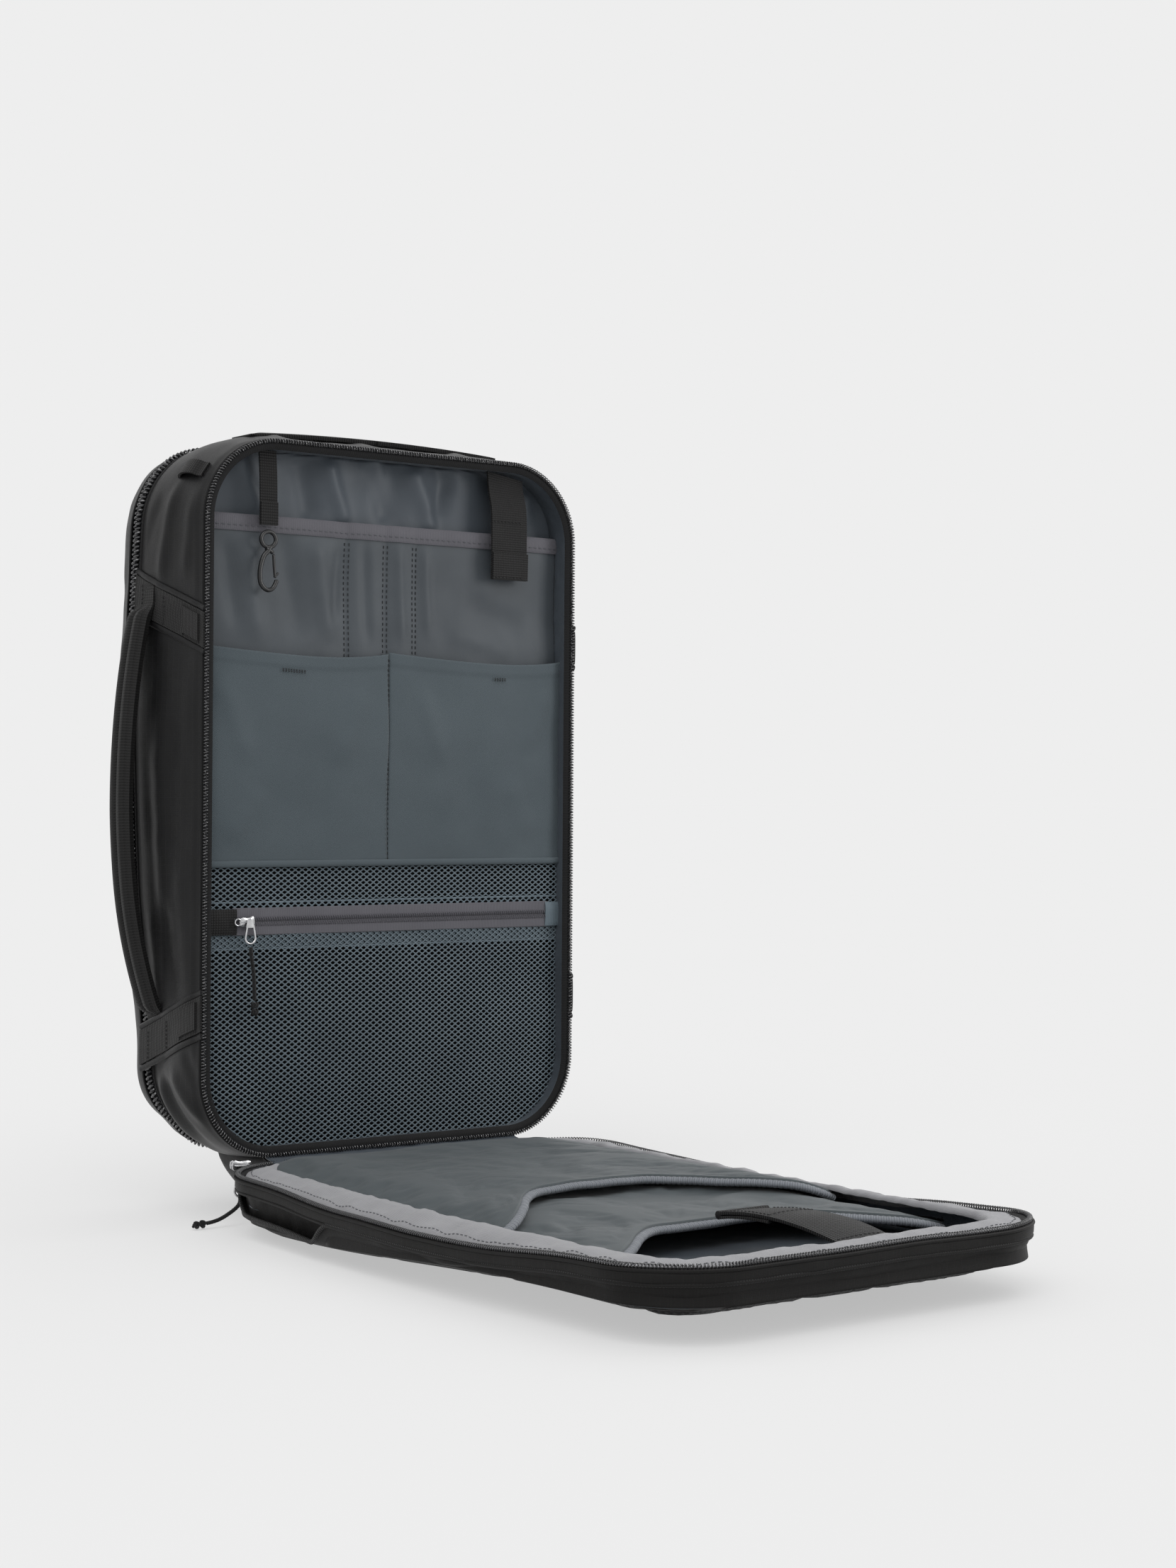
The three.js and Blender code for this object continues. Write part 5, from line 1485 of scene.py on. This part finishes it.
def laptop_strap():
    low, high = corners("laptop_strap")
    x = (low[0] + high[0]) / 2
    path = smooth_path([[x, low[1] + 1, 30], [x, -507, 36.8], [x, -494, 41.4], [x, -470, 45.6],
                        [x, -445, 47.4],
                        [x, -420, 47.0], [x, high[1] - 8, 45.0], [x, high[1] + 0.4, 43.4]], 1.8)
    s = np.linspace(-0.5, 0.5, 17)
    bits = Bits()
    twist = np.linspace(0, 1, len(path))
    crown = 1.6 * np.sin(math.pi * twist)[:, None] * (1 - (2 * s[None, :]) ** 2)
    face = path[:, None] + s[None, :, None] * 38 * np.array([1.0, 0, 0])
    face[..., 2] += crown + 1.2 * np.sin(5 * twist)[:, None] * s[None, :]
    points, faces, uv = slab(face[::-1], 1.9)
    bits.add(points, faces, uv)
    tip = len(path) - 26
    under = face[tip:].copy()
    under[..., 2] -= 2.6
    points, faces, uv = slab(under[::-1], 1.6)
    bits.add(points, faces, uv)
    nose = np.stack([np.linspace(-18.8, 18.8, 24) + x, np.full(24, path[-1][1] - 0.4),
                     face[-1, 0, 2] * np.ones(24) - 1.6], 1)
    add_tube(bits, nose, 5.4, 5.0, 10, up=UP)
    settle(bits.make("laptop_strap_webbing", BELT), "retaining_strap", "webbing_black", "laptop_strap")
    thread = Bits()
    row = face + np.array([0, 0, 0.2])
    for k in (tip + 1, len(path) - 4):
        add_stitches(thread, row[k, 1:-1], 2.4, 0.9, 0.6, up=UP)
    for j in (1, -2):
        add_stitches(thread, row[tip + 1:len(path) - 3, j], 2.4, 0.9, 0.6, up=UP)
    add_stitches(thread, np.stack([row[tip + 1, 1], row[len(path) - 4, -2]]), 2.4, 0.9, 0.6, up=UP)
    add_stitches(thread, row[14, 1:-1], 2.4, 0.9, 0.6, up=UP)
    settle(thread.make("laptop_strap_thread", BLACK_THREAD), "retaining_strap", "webbing_black")


def hinge_cloth():
    """Cloth that joins the shell and the lid along the fold, inside and outside."""
    for name, profile, finish, slot_name, nodes in (
        ("hinge_lining", [(-36.5, 46.5), (-39.5, 43.8), (-43, 42.2), (-47, 41.6), (-52, 40.0), (-58, 37.0)],
         LINING,
         "lining_slate", ()),
        ("hinge_outer", [(-36.8, 41.5), (-40.5, 39.6), (-44, 38.6), (-48, 36.6), (-50.5, 33.5), (-52, 29)],
         LID_SHELL,
         "shell_black", ("hinge_piping",)),
    ):
        xs = np.linspace(-101, 101, 90)
        line = smooth_path(np.array([[0, y, z] for y, z in profile]), 1.2)
        grid = np.stack([np.broadcast_to(xs[:, None], (90, len(line))),
                         np.broadcast_to(line[:, 1], (90, len(line))),
                         np.broadcast_to(line[:, 2], (90, len(line)))], -1).copy()
        ripple = crumple(grid, 12, 0.9, 101)
        grid[..., 2] += ripple
        if finish is LID_SHELL:
            grid = grid[:, ::-1]
        piece = sheet_piece(name, grid[::-1], 1.0, finish, crease=SMOOTH)
        bridge(piece, "shell", "lid", (0, -40.5, 43), (0, -48.5, 37.5), slot_name, *nodes)


# ---------------------------------------------------------------- zip sliders and knotted cords

CORD_WIDTH = 2.6
INNER_CORD = (
    (-113, -39.9, 182.2), (-113, -40.1, 180), (-112.8, -40.2, 177.5), (-112.5, -40.2, 175),
    (-112.1, -40.2, 172.5), (-111.7, -40.2, 170), (-111.3, -40.2, 167.5), (-111, -40.2, 165),
    (-110.8, -40.2, 162.5), (-110.6, -40.2, 160), (-110.5, -40.2, 157.5), (-110.4, -40.2, 155),
    (-110.3, -40.2, 152.5), (-110.2, -40.2, 150), (-110.1, -40.2, 147.5),
)
FACE_CORD = (
    (-122, -44, 17.9), (-122.2, -44, 15.6), (-123.2, -44, 13.6), (-124.9, -44, 12), (-126.6, -44, 10.8),
    (-128.4, -44, 9.7), (-130.3, -44, 8.7), (-132.2, -44, 7.7), (-134.1, -44, 6.8), (-136.1, -44, 6),
    (-138.1, -44, 5.3), (-140.2, -44, 4.8), (-142.3, -44, 4.4), (-144.4, -44, 4.1), (-146.6, -44, 3.9),
)


def knot(name, axis, node, body):
    """Two overhand knots, one on the other, along an axis through the middle of the CAD knot."""
    low, high = corners(node)
    middle = (low + high) / 2
    axis = np.array(axis, float)
    side = unit(np.cross(axis, (0.3, 1.0, 0.2)))
    above = np.cross(axis, side)
    turn = np.linspace(0, 2 * math.pi, 49)[:-1, None]
    bits = Bits()
    for place, size, start in ((-2.1, 0.66, 0.0), (2.3, 0.60, 0.9)):
        round_way = turn + start
        loop = (side * (np.sin(round_way) + 2 * np.sin(2 * round_way)) * size
                + above * (np.cos(round_way) - 2 * np.cos(2 * round_way)) * size
                - axis * np.sin(3 * round_way) * 1.15)
        add_tube(bits, middle + axis * place + loop, 2.1, sides=8, closed=True)
    tail = middle + axis * np.linspace(3.2, 4.9, 5)[:, None] + side * np.array([0, 0.2, 0.5, 0.9, 1.3])[:,
                                                                                                        None]
    add_tube(bits, tail, [2.4, 2.2, 2.0, 1.9, 2.1], sides=8)
    return settle(bits.make(name, CORD, 70), body, "cord_black", node)


def knotted_cord(name, route, body, node, knot_piece):
    """A short cord that hangs from a zip pull: its strands twist round each other."""
    line = spaced(smooth_path(route, 0.5), count=60)
    strands = 1 + 0.05 * np.cos(2 * math.pi * run_lengths(line) / 1.9)
    piece = tube_piece(name, line, CORD_WIDTH * strands, CORD, sides=12)
    settle(piece, body, "cord_black", node)


def cords():
    knotted_cord("inner_zip_cord", INNER_CORD, "pocket_pull", "inner_pull_cord",
                 knot("inner_cord_knot", (0.02, 0, -1), "inner_pull_knot", "pocket_pull"))
    knotted_cord("face_zip_cord", FACE_CORD, "face_zip_pull", "face_pull_cord",
                 knot("face_cord_knot", (-1, 0, -0.05), "face_pull_knot", "face_zip_pull"))


def plate_between(bits, outline, origin, along, across, above, rings):
    """A flat body with bevelled edges. rings are (height, inset) pairs from bottom to top; the outline
    is in (along, across)."""
    side = outwards(outline)
    origin, along, across, above = (np.array(v, float) for v in (origin, along, across, above))
    count = len(outline)
    points = []
    for height, inset in rings:
        flat = outline - side * inset
        points.append(origin + flat[:, :1] * along + flat[:, 1:] * across + above * height)
    grid = np.stack(points)
    for cap in (0, -1):
        middle = grid[cap].mean(0)
        points.append(middle[None])
    base = count * len(rings)
    k = np.arange(count)
    beside = (k + 1) % count
    faces = [np.stack([r * count + k, r * count + beside, (r + 1) * count + beside, (r + 1) * count + k], 1)
             for r in range(len(rings) - 1)]
    bits.add(np.concatenate(points), np.concatenate(faces))
    start = bits.count - base - 2
    last = base - count
    caps = np.concatenate([np.stack([beside, k, np.full(count, base)], 1),
                           np.stack([last + k, last + beside, np.full(count, base + 1)], 1)]) + start
    bits.faces.append(caps)
    bits.uv.append(np.zeros((caps.size, 2)))
    return bits


def slider_outline(length, width, waist):
    """A zip slider from the front: a broad nose, a waist and a narrower tail, symmetric about its run."""
    half = [(-length / 2, width * 0.26), (-length * 0.30, width * 0.36), (-length * 0.05, waist / 2),
            (length * 0.18, waist * 0.54), (length * 0.36, width * 0.46), (length * 0.47, width * 0.34),
            (length / 2, 0.0)]
    lower = [(a, -b) for a, b in half]
    line = np.array(lower + [(a, b) for a, b in half[-2::-1]])
    ring = spaced(np.concatenate([line, line[:1]]), 0.4)[:-1]
    return (ring + np.roll(ring, 1, 0) + np.roll(ring, -1, 0)) / 3


def add_slider(bits, origin, along, across, above, length, width, depth):
    """A plated zip slider: two bevelled plates joined at the nose, and the bridge that holds the pull."""
    origin, along, across, above = (np.array(v, float) for v in (origin, along, across, above))
    outline = slider_outline(length, width, width * 0.62)
    plate = depth * 0.22
    for level, inset in ((0.0, 0.5), (depth * 0.52, 0.0)):
        plate_between(bits, outline, origin + above * level, along, across, above,
                      [(0, inset + 0.35), (0.3, inset), (plate - 0.3, inset), (plate, inset + 0.4)])
    wedge = spaced(np.array([(length * 0.1, 0), (length * 0.34, -0.9), (length * 0.46, 0),
                             (length * 0.34, 0.9),
                             (length * 0.1, 0)]), 0.4)[:-1]
    plate_between(bits, wedge, origin, along, across, above, [(plate * 0.5, 0), (depth * 0.6, 0)])
    top = depth * 0.72
    arch = smooth_path(np.array([origin + along * a + above * h for a, h in (
        (-length * 0.36, top - 0.5), (-length * 0.33, top + depth * 0.14),
        (-length * 0.16, top + depth * 0.27),
        (length * 0.12, top + depth * 0.27), (length * 0.30, top + depth * 0.14),
        (length * 0.34, top - 0.5))]), 0.5)
    add_tube(bits, arch, 2.0, 1.0, 10, up=across)
    return bits


def pull_outline(length, width):
    """A pull seen from the front, hanging from the origin: narrow at its eye and rounded below."""
    radius = width / 2
    low = np.radians(np.linspace(180, 360, 20))
    line = [(-radius * 0.5, 0.2), (-radius * 0.62, -length * 0.25)]
    line += [(radius * math.cos(a), radius - length + radius * math.sin(a)) for a in low]
    line += [(radius * 0.62, -length * 0.25), (radius * 0.5, 0.2)]
    return np.array(line)


def add_pull(bits, top, along, across, above, length, width, thick):
    """A cast pull: a stem, and a hoop with a round edge that the cord goes through."""
    top, along, across, above = (np.array(v, float) for v in (top, along, across, above))
    line = pull_outline(length - thick * 0.5, width - thick)
    hoop = smooth_path(np.array([top + across * a + along * -b for a, b in line[1:-1]]), 0.6)
    add_tube(bits, hoop, thick, thick, 10, up=above)
    stem = np.array([top + along * d for d in (0.3, 2.0, 4.0, 5.6)])
    add_tube(bits, stem, [width * 0.5, width * 0.56, width * 0.66, width * 0.7], [thick * 0.9] * 4, 10,
             up=above)
    return bits


def hang_pull(name, node, body, across, above):
    """A plated pull that hangs where the CAD pull does."""
    low, high = corners(node)
    middle = (low + high) / 2
    size = high - low
    pull = add_pull(Bits(), (middle[0], middle[1], high[2]), (0, 0, -1), across, above, size[2],
                    size[int(np.argmax(across))], 1.5)
    settle(pull.make(name, STEEL, 60), body, "steel", node)


def sliders():
    low, high = corners("inner_zip_slider")
    middle = (low + high) / 2
    body = add_slider(Bits(), (middle[0], high[1], middle[2]), (1, 0, 0), (0, 0, 1), FRONT,
                      high[0] - low[0], high[2] - low[2] + 1.0, high[1] - low[1])
    ring = np.radians(np.linspace(0, 360, 25))[:-1]
    add_tube(body, np.stack([low[0] - 1.6 + 2.2 * np.cos(ring), np.full(24, low[1] + 1.2),
                             middle[2] + 2.2 * np.sin(ring)],
                            1), 1.0, sides=8, closed=True)
    settle(body.make("pocket_zip_slider", STEEL, 40), "pocket_slider", "steel", "inner_zip_slider")
    hang_pull("pocket_zip_pull", "inner_zip_pull", "pocket_pull", (1, 0, 0), FRONT)
    low, high = corners("face_slider")
    middle = (low + high) / 2
    body = add_slider(Bits(), (middle[0], high[1] - 0.8, middle[2]), (-1, 0, 0), (0, 0, 1), FRONT,
                      high[0] - low[0], high[2] - low[2] + 0.6, high[1] - low[1] - 1.0)
    settle(body.make("lid_zip_slider", STEEL, 40), "shell", "steel", "face_slider")
    hang_pull("lid_zip_pull", "face_pull", "face_zip_pull", (1, 0, 0), FRONT)
    low, high = corners("main_slider")
    middle = (low + high) / 2
    body = add_slider(Bits(), (low[0] - 0.4, middle[1], middle[2]), (0, 0, 1), (0, 1, 0), (1, 0, 0),
                      high[2] - low[2], high[1] - low[1] + 0.6, high[0] - low[0])
    settle(body.make("main_zip_slider", STEEL, 40), "main_zip_slider", "steel", "main_slider")
    hang_pull("main_zip_pull", "main_slider_pull", "main_zip_pull", (0, 1, 0), (1, 0, 0))


# ---------------------------------------------------------------- base, harness and main compartment

def sagging_base():
    """The soft base between the straight lower edge of the shell and the floor."""
    low, high = corners("bottom_panel")
    half_x, half_y = high[0] - 3.0, high[1] - 1.0
    s, t = np.meshgrid(np.linspace(-1, 1, 110), np.linspace(-1, 1, 56), indexing="ij")
    x, y = half_x * s, half_y * t
    place = level_place(x, y)
    hang = np.clip(1 - np.abs(s) ** 5, 0, 1) ** 0.42 * np.clip(1 - np.abs(t) ** 4, 0, 1) ** 0.42
    z = high[2] + 0.6 - (high[2] - 0.6) * hang
    soft = np.sin(math.pi * np.clip((high[2] - z) / high[2], 0, 1)) ** 0.6
    z = z + (crumple(place, 30, 3.0, 111) + crumple(place, 12, 1.0, 112)) * soft
    for start, end, width, depth in (((-88, -30), (-52, 10), 6, 3.0), ((-60, 34), (-80, -8), 6, -2.4),
                                     ((88, -28), (56, 12), 6, 2.8), ((20, 36), (40, 0), 7, 2.4),
                                     ((-20, 36), (-34, 4), 6, -2.0)):
        z = z + fold(x, y, start, end, width, depth) * soft
    z = np.maximum(z, low[2] + 1.2)
    grid = np.stack([x, y, z], -1)
    settle(sheet_piece("sagging_base", grid[::-1], 1.2, SHELL, crease=SMOOTH), "shell", "shell_black",
           "bottom_panel")
    seams = Bits()
    for at in (24, 85):
        add_tube(seams, grid[at, 2:-2] + np.array([0, 0, -0.4]), 2.4, 1.8, 8, up=UP)
    settle(seams.make("base_seams", SHELL, SMOOTH), "shell", "shell_black")


def back_pad():
    """The padded back panel under the lid's floor: quilted by two long channels and four short ones."""
    low, high = corners("back_pad")
    half_x, half_y = (high[0] - low[0]) / 2 - 3, (high[1] - low[1]) / 2 - 3
    centre_y = (low[1] + high[1]) / 2
    s, t = np.meshgrid(np.linspace(-1, 1, 70), np.linspace(-1, 1, 110), indexing="ij")
    x, y = half_x * s, half_y * t
    corner = np.clip(np.hypot(np.maximum(np.abs(x) - half_x + 45, 0),
                              np.maximum(np.abs(y) - half_y + 45, 0)) / 45, 0, 1)
    squeeze = np.maximum(np.abs(s), np.abs(t))
    reach = np.sqrt(np.maximum(1 - (np.abs(s) * np.abs(t)) ** 6 * 0.12, 0))
    x, y = x * reach, y * reach + centre_y
    edge = np.clip((1 - np.maximum(squeeze, corner)) / 0.1, 0, 1)
    channel = 1 - np.exp(-((np.abs(x) - 26) / 4.5) ** 2)
    for place in (-180, -60, 60, 180):
        channel = channel * (1 - np.exp(-((y - centre_y - place) / 4.5) ** 2) * (np.abs(x) > 26))
    lift = 1 - (1 - edge) ** 2
    z = low[2] + 0.7 + 3.6 * (1 - lift) + 2.4 * (1 - channel) * lift
    grid = np.stack([x, y, z], -1)
    held = (edge < 0.25) | (channel < 0.3)
    grid = relaxed(grid[:, ::-1], held[:, ::-1], 0.008, 1.0, 12)
    grid[..., 2] = np.clip(grid[..., 2], low[2] + 0.4, high[2] - 1.6)
    grid[..., 2] += hull_lift(grid[..., 0], grid[..., 1])
    piece = sheet_piece("back_panel_pad", grid, 1.4, BACK_MESH, crease=SMOOTH)
    settle(piece, "lid", "shell_black", "back_pad")
    rim = np.concatenate([grid[0], grid[1:, -1], grid[-1, -2::-1], grid[-2:0:-1, 0]])
    piping = spaced(rim + np.array([0, 0, 0.6]), 3.0, closed=True)
    settle(tube_piece("back_panel_piping", piping, 2.4, SHELL, closed=True, up=UP), "lid", "shell_black")


def shoulder_straps():
    """Both shoulder straps, stowed flat between the lid's floor and its back panel."""
    for side in ("left", "right"):
        low, high = corners(f"shoulder_strap_{side}")
        middle = (low + high) / 2
        half_x, half_y = (high[0] - low[0]) / 2, (high[1] - low[1]) / 2
        s, t = np.meshgrid(np.linspace(-1, 1, 26), np.linspace(-1, 1, 100), indexing="ij")
        taper = 1 - 0.28 * ease((np.abs(t) - 0.75) / 0.25)
        x = middle[0] + s * (half_x - 1) * taper + 3.0 * np.sin(2.2 * t)
        y = middle[1] + t * (half_y - 1)
        edge = np.clip((1 - np.abs(s)) / 0.22, 0, 1) * np.clip((1 - np.abs(t)) / 0.03, 0, 1)
        crown = 1 - (1 - edge) ** 2
        z = low[2] + 2.2 + (high[2] - low[2] - 3.6) * crown
        held = edge < 0.3
        grid = relaxed(np.stack([x, y, z], -1), held, 0.01, 1.0, 10)
        grid[..., 2] = np.clip(grid[..., 2] + hull_lift(grid[..., 0], grid[..., 1]), low[2] + 2.0,
                               high[2] + 2.0)
        grid[..., 0] = np.clip(grid[..., 0], low[0] + 0.3, high[0] - 0.3)
        piece = sheet_piece(f"shoulder_pad_{side}", grid, 1.6 + 3.0 * crown, BACK_MESH, crease=SMOOTH)
        settle(piece, "lid", "shell_black", f"shoulder_strap_{side}")


PANEL = corners("main_panel")
FRONT_POCKET = corners("front_pocket")


def rounded_distance(x, z, half_width, low, high, radius):
    """Distance from the edge of a rounded rectangle, inwards."""
    across = np.abs(x) - (half_width - radius)
    up = np.abs(z - (low + high) / 2) - ((high - low) / 2 - radius)
    outside = np.hypot(np.maximum(across, 0), np.maximum(up, 0))
    return radius - outside - np.minimum(np.maximum(across, up), 0)


def follow_edge(x, z):
    """Points of the panel's face, moved along with the swollen or pinched edge next to them."""
    across = np.abs(x) - (HALF_WIDTH - CORNER_RADIUS)
    up = np.abs(z - MIDDLE_Z) - ((SHELL_TOP - SHELL_LOW) / 2 - CORNER_RADIUS)
    beyond = np.hypot(np.maximum(across, 0), np.maximum(up, 0))
    safe = np.maximum(beyond, 1e-6)
    way_x = np.where(beyond > 0, np.maximum(across, 0) / safe, across > up) * np.sign(x)
    way_z = np.where(beyond > 0, np.maximum(up, 0) / safe, across <= up) * np.sign(z - MIDDLE_Z)
    inside = rounded_distance(x, z, HALF_WIDTH, SHELL_LOW, SHELL_TOP, CORNER_RADIUS)
    edge = np.stack([x + way_x * inside, np.full_like(x, BACK_Y), z + way_z * inside], -1)
    shift = bulge(edge) * np.exp(-(np.maximum(inside - 15, 0) / 40) ** 2)
    return x + way_x * shift, z + way_z * shift


def panel_y(distance):
    """Depth of the main panel's face at a distance inside its edge."""
    rise = PANEL[1][1] - PANEL[0][1]
    return PANEL[0][1] + np.interp(distance, [0, 0.6, 2.4, 6, 11, 18, 34, 60],
                                   [0, 0.16 * rise, 0.5 * rise, 0.72 * rise, 0.84 * rise, 0.92 * rise,
                                    rise - 0.8,
                                    rise - 0.2])


def filled_grid(half_width, low, high, radius, columns, rows):
    """A grid of (x, z) that fills a rounded rectangle."""
    z = np.linspace(low + 0.01, high - 0.01, rows)
    past = np.maximum(np.maximum(low + radius - z, z - high + radius), 0)
    half = half_width - radius + np.sqrt(np.maximum(radius ** 2 - past ** 2, 0))
    x = np.linspace(-1, 1, columns)[:, None] * half[None, :]
    return x, np.broadcast_to(z, x.shape)


def main_panel():
    """The dished front of the bag: its side wall, its face, the piping between them, and its lining."""
    flat = shell_outline(3.0)
    inset = 15.0
    insets = np.array([0.2, 0.4, 1.0, 2.2, 4.0, 6.5, 9.5, 12.5, inset])
    wall = shell_ring(flat, [(d, panel_y(d)) for d in insets])
    out = standing(outwards(flat), 0)[:, None]
    calm = np.sin(np.linspace(0.05, 0.95, len(insets)) * math.pi)[None, :]
    wall = wall + out * ((crumple(wall, 45, 1.6, 121) + crumple(wall, 16, 0.6, 122)) * calm)[..., None]
    settle(sheet_piece("main_panel_wall", wall, 1.4, SHELL, closed=True, crease=SMOOTH), "main_cover",
           "shell_black",
           "main_panel")
    x, z = filled_grid(HALF_WIDTH - inset, SHELL_LOW + inset, SHELL_TOP - inset, CORNER_RADIUS - inset, 110,
                       160)
    distance = rounded_distance(x, z, HALF_WIDTH, SHELL_LOW, SHELL_TOP, CORNER_RADIUS)
    place = upright_place(x, z)
    y = panel_y(distance) - np.abs(crumple(place, 60, 1.8, 123)) - np.abs(crumple(place, 22, 0.6, 124))
    y = with_folds(y, x, z, (
        ((-120, 60), (-60, 110), 9, -2.6), ((120, 64), (70, 120), 9, -2.4),
        ((-110, 500), (-60, 430), 10, -2.0),
        ((100, 500), (70, 440), 9, -2.2), ((-40, 500), (-10, 430), 9, -1.4), ((20, 60), (0, 100), 10, -1.8)))
    x, z = follow_edge(x, z)
    grid = np.stack([x, y, z], -1)
    settle(sheet_piece("main_panel_face", grid[::-1], 1.4, SHELL, crease=SMOOTH), "main_cover", "shell_black")
    piping = shell_ring(flat, [(inset, float(panel_y(inset)) + 0.5)])[:, 0]
    settle(tube_piece("main_panel_piping", piping, 3.0, SHELL, closed=True, up=(0, 1, 0)), "main_cover",
           "shell_black")
    lining = np.stack([x, y - 3.2, z], -1)
    settle(sheet_piece("main_panel_lining", lining, 0.8, LINING, crease=SMOOTH), "main_cover", "lining_slate")
    inner = shell_ring(flat, [(1.6, PANEL[0][1] - 1.2), *((d + 2.4, panel_y(d) - 1.4) for d in insets[1:])])
    settle(sheet_piece("main_panel_side_lining", inner[:, ::-1], 0.8, LINING, closed=True, crease=SMOOTH),
           "main_cover", "lining_slate")


def front_pocket():
    """The shallow pocket on the main panel: filled out a little, bound along its open top."""
    low, high = FRONT_POCKET
    half = (high[0] - low[0]) / 2
    x, z = filled_grid(half - 1, low[2] + 1, high[2] - 8, 33, 90, 120)
    distance = rounded_distance(x, z, half - 1, low[2] + 1, high[2] - 8, 33)
    depth = high[1] - low[1] - 1.2
    y = low[1] + 0.2 + depth * (1 - (1 - np.clip(distance / 9, 0, 1)) ** 2) * 0.72
    held = (distance < 4) | (z > high[2] - 12)
    grid = relaxed(np.stack([x, y, z], -1)[::-1], held[::-1], 0.002, 1.5, 12)
    grid[..., 1] = np.clip(grid[..., 1], low[1] + 0.1, high[1] + 1.5)
    settle(sheet_piece("front_pocket_cloth", grid, 1.4, SHELL, crease=SMOOTH), "main_cover", "shell_black",
           "front_pocket")
    rim = grid[:, -3] + np.array([0, 0.6, 0])
    settle(tube_piece("front_pocket_binding", spaced(rim, 1.5), 7.0, BLACK_TAPE, 2.6, 10, up=(0, 1, 0)),
           "main_cover",
           "zip_black")
    thread = Bits()
    flat = rounded(half - 5.0, low[2] + 5, high[2] - 12, 29, 2.0)
    below = flat[flat[:, 1] < high[2] - 16]
    order = np.argsort(np.arctan2(below[:, 0], -(below[:, 1] - (low[2] + high[2]) / 2)))
    line = standing(below[order], 0.0)
    near = np.argmin(np.linalg.norm(grid.reshape(-1, 3)[None, :, ::2] - line[:, None, ::2], axis=-1), axis=1)
    line[:, 1] = grid.reshape(-1, 3)[near, 1] + 0.3
    add_stitches(thread, line, 2.8, 1.6, 0.6, up=(0, 1, 0))
    settle(thread.make("front_pocket_thread", BLACK_THREAD), "main_cover", "shell_black")


def panel_hinge():
    """Cloth that joins the shell and the main panel along their lower edge."""
    for name, profile, finish, slot_name in (
        ("panel_hinge_outer", [(36.5, 42.4), (41, 41.6), (45, 41.8), (50, 42.2), (54, 43.2)], SHELL,
         "shell_black"),
        ("panel_hinge_lining", [(37, 48), (42, 46.6), (46, 46.4), (51, 47.6), (55, 50)], LINING,
         "lining_slate"),
    ):
        xs = np.linspace(-94, 94, 80)
        line = smooth_path(np.array([[0, y, z] for y, z in profile]), 1.2)
        grid = np.broadcast_to(line[None], (80, *line.shape)).copy()
        grid[..., 0] = xs[:, None]
        grid[..., 2] += crumple(grid, 14, 0.8, 131)
        piece = sheet_piece(name, grid if finish is LINING else grid[::-1], 1.0, finish, crease=SMOOTH)
        bridge(piece, "shell", "main_cover", (0, 41, 43), (0, 48, 43), slot_name)


# ---------------------------------------------------------------- the whole scene

FINISHES = {
    "shell_black": SHELL, "webbing_black": BELT, "zip_black": BLACK_TAPE, "lining_slate": LINING,
    "padded_slate": PADDED, "stretch_teal": STRETCH, "mesh_teal": MESH, "tape_grey": GREY_TAPE,
    "facing_pale": FACING, "steel": STEEL, "plastic_black": PLASTIC, "cord_black": CORD,
}


def finish_cad_nodes():
    for subpart in frame["record"]["subparts"]:
        node = frame["nodes"][subpart["node"]]
        node.data.materials.clear()
        node.data.materials.append(FINISHES[subpart["material_slot"]])


camera()
cords()
studio()
floor()
side_cloth()
shell_zips()
bands()
handles()
top_handle()
corner_loops()
side_lining()
organiser_wall()
upper_pockets()
stretch_pockets()
mesh_parts()
pocket_zip()
leash_parts()
snap_hook_parts()
sliders()
sagging_base()
main_panel()
front_pocket()
panel_hinge()
lid_walls()
lid_zip()
lid_facing()
lid_interior()
sleeves()
laptop_strap()
hinge_cloth()
back_pad()
shoulder_straps()
finish_cad_nodes()
softbox()
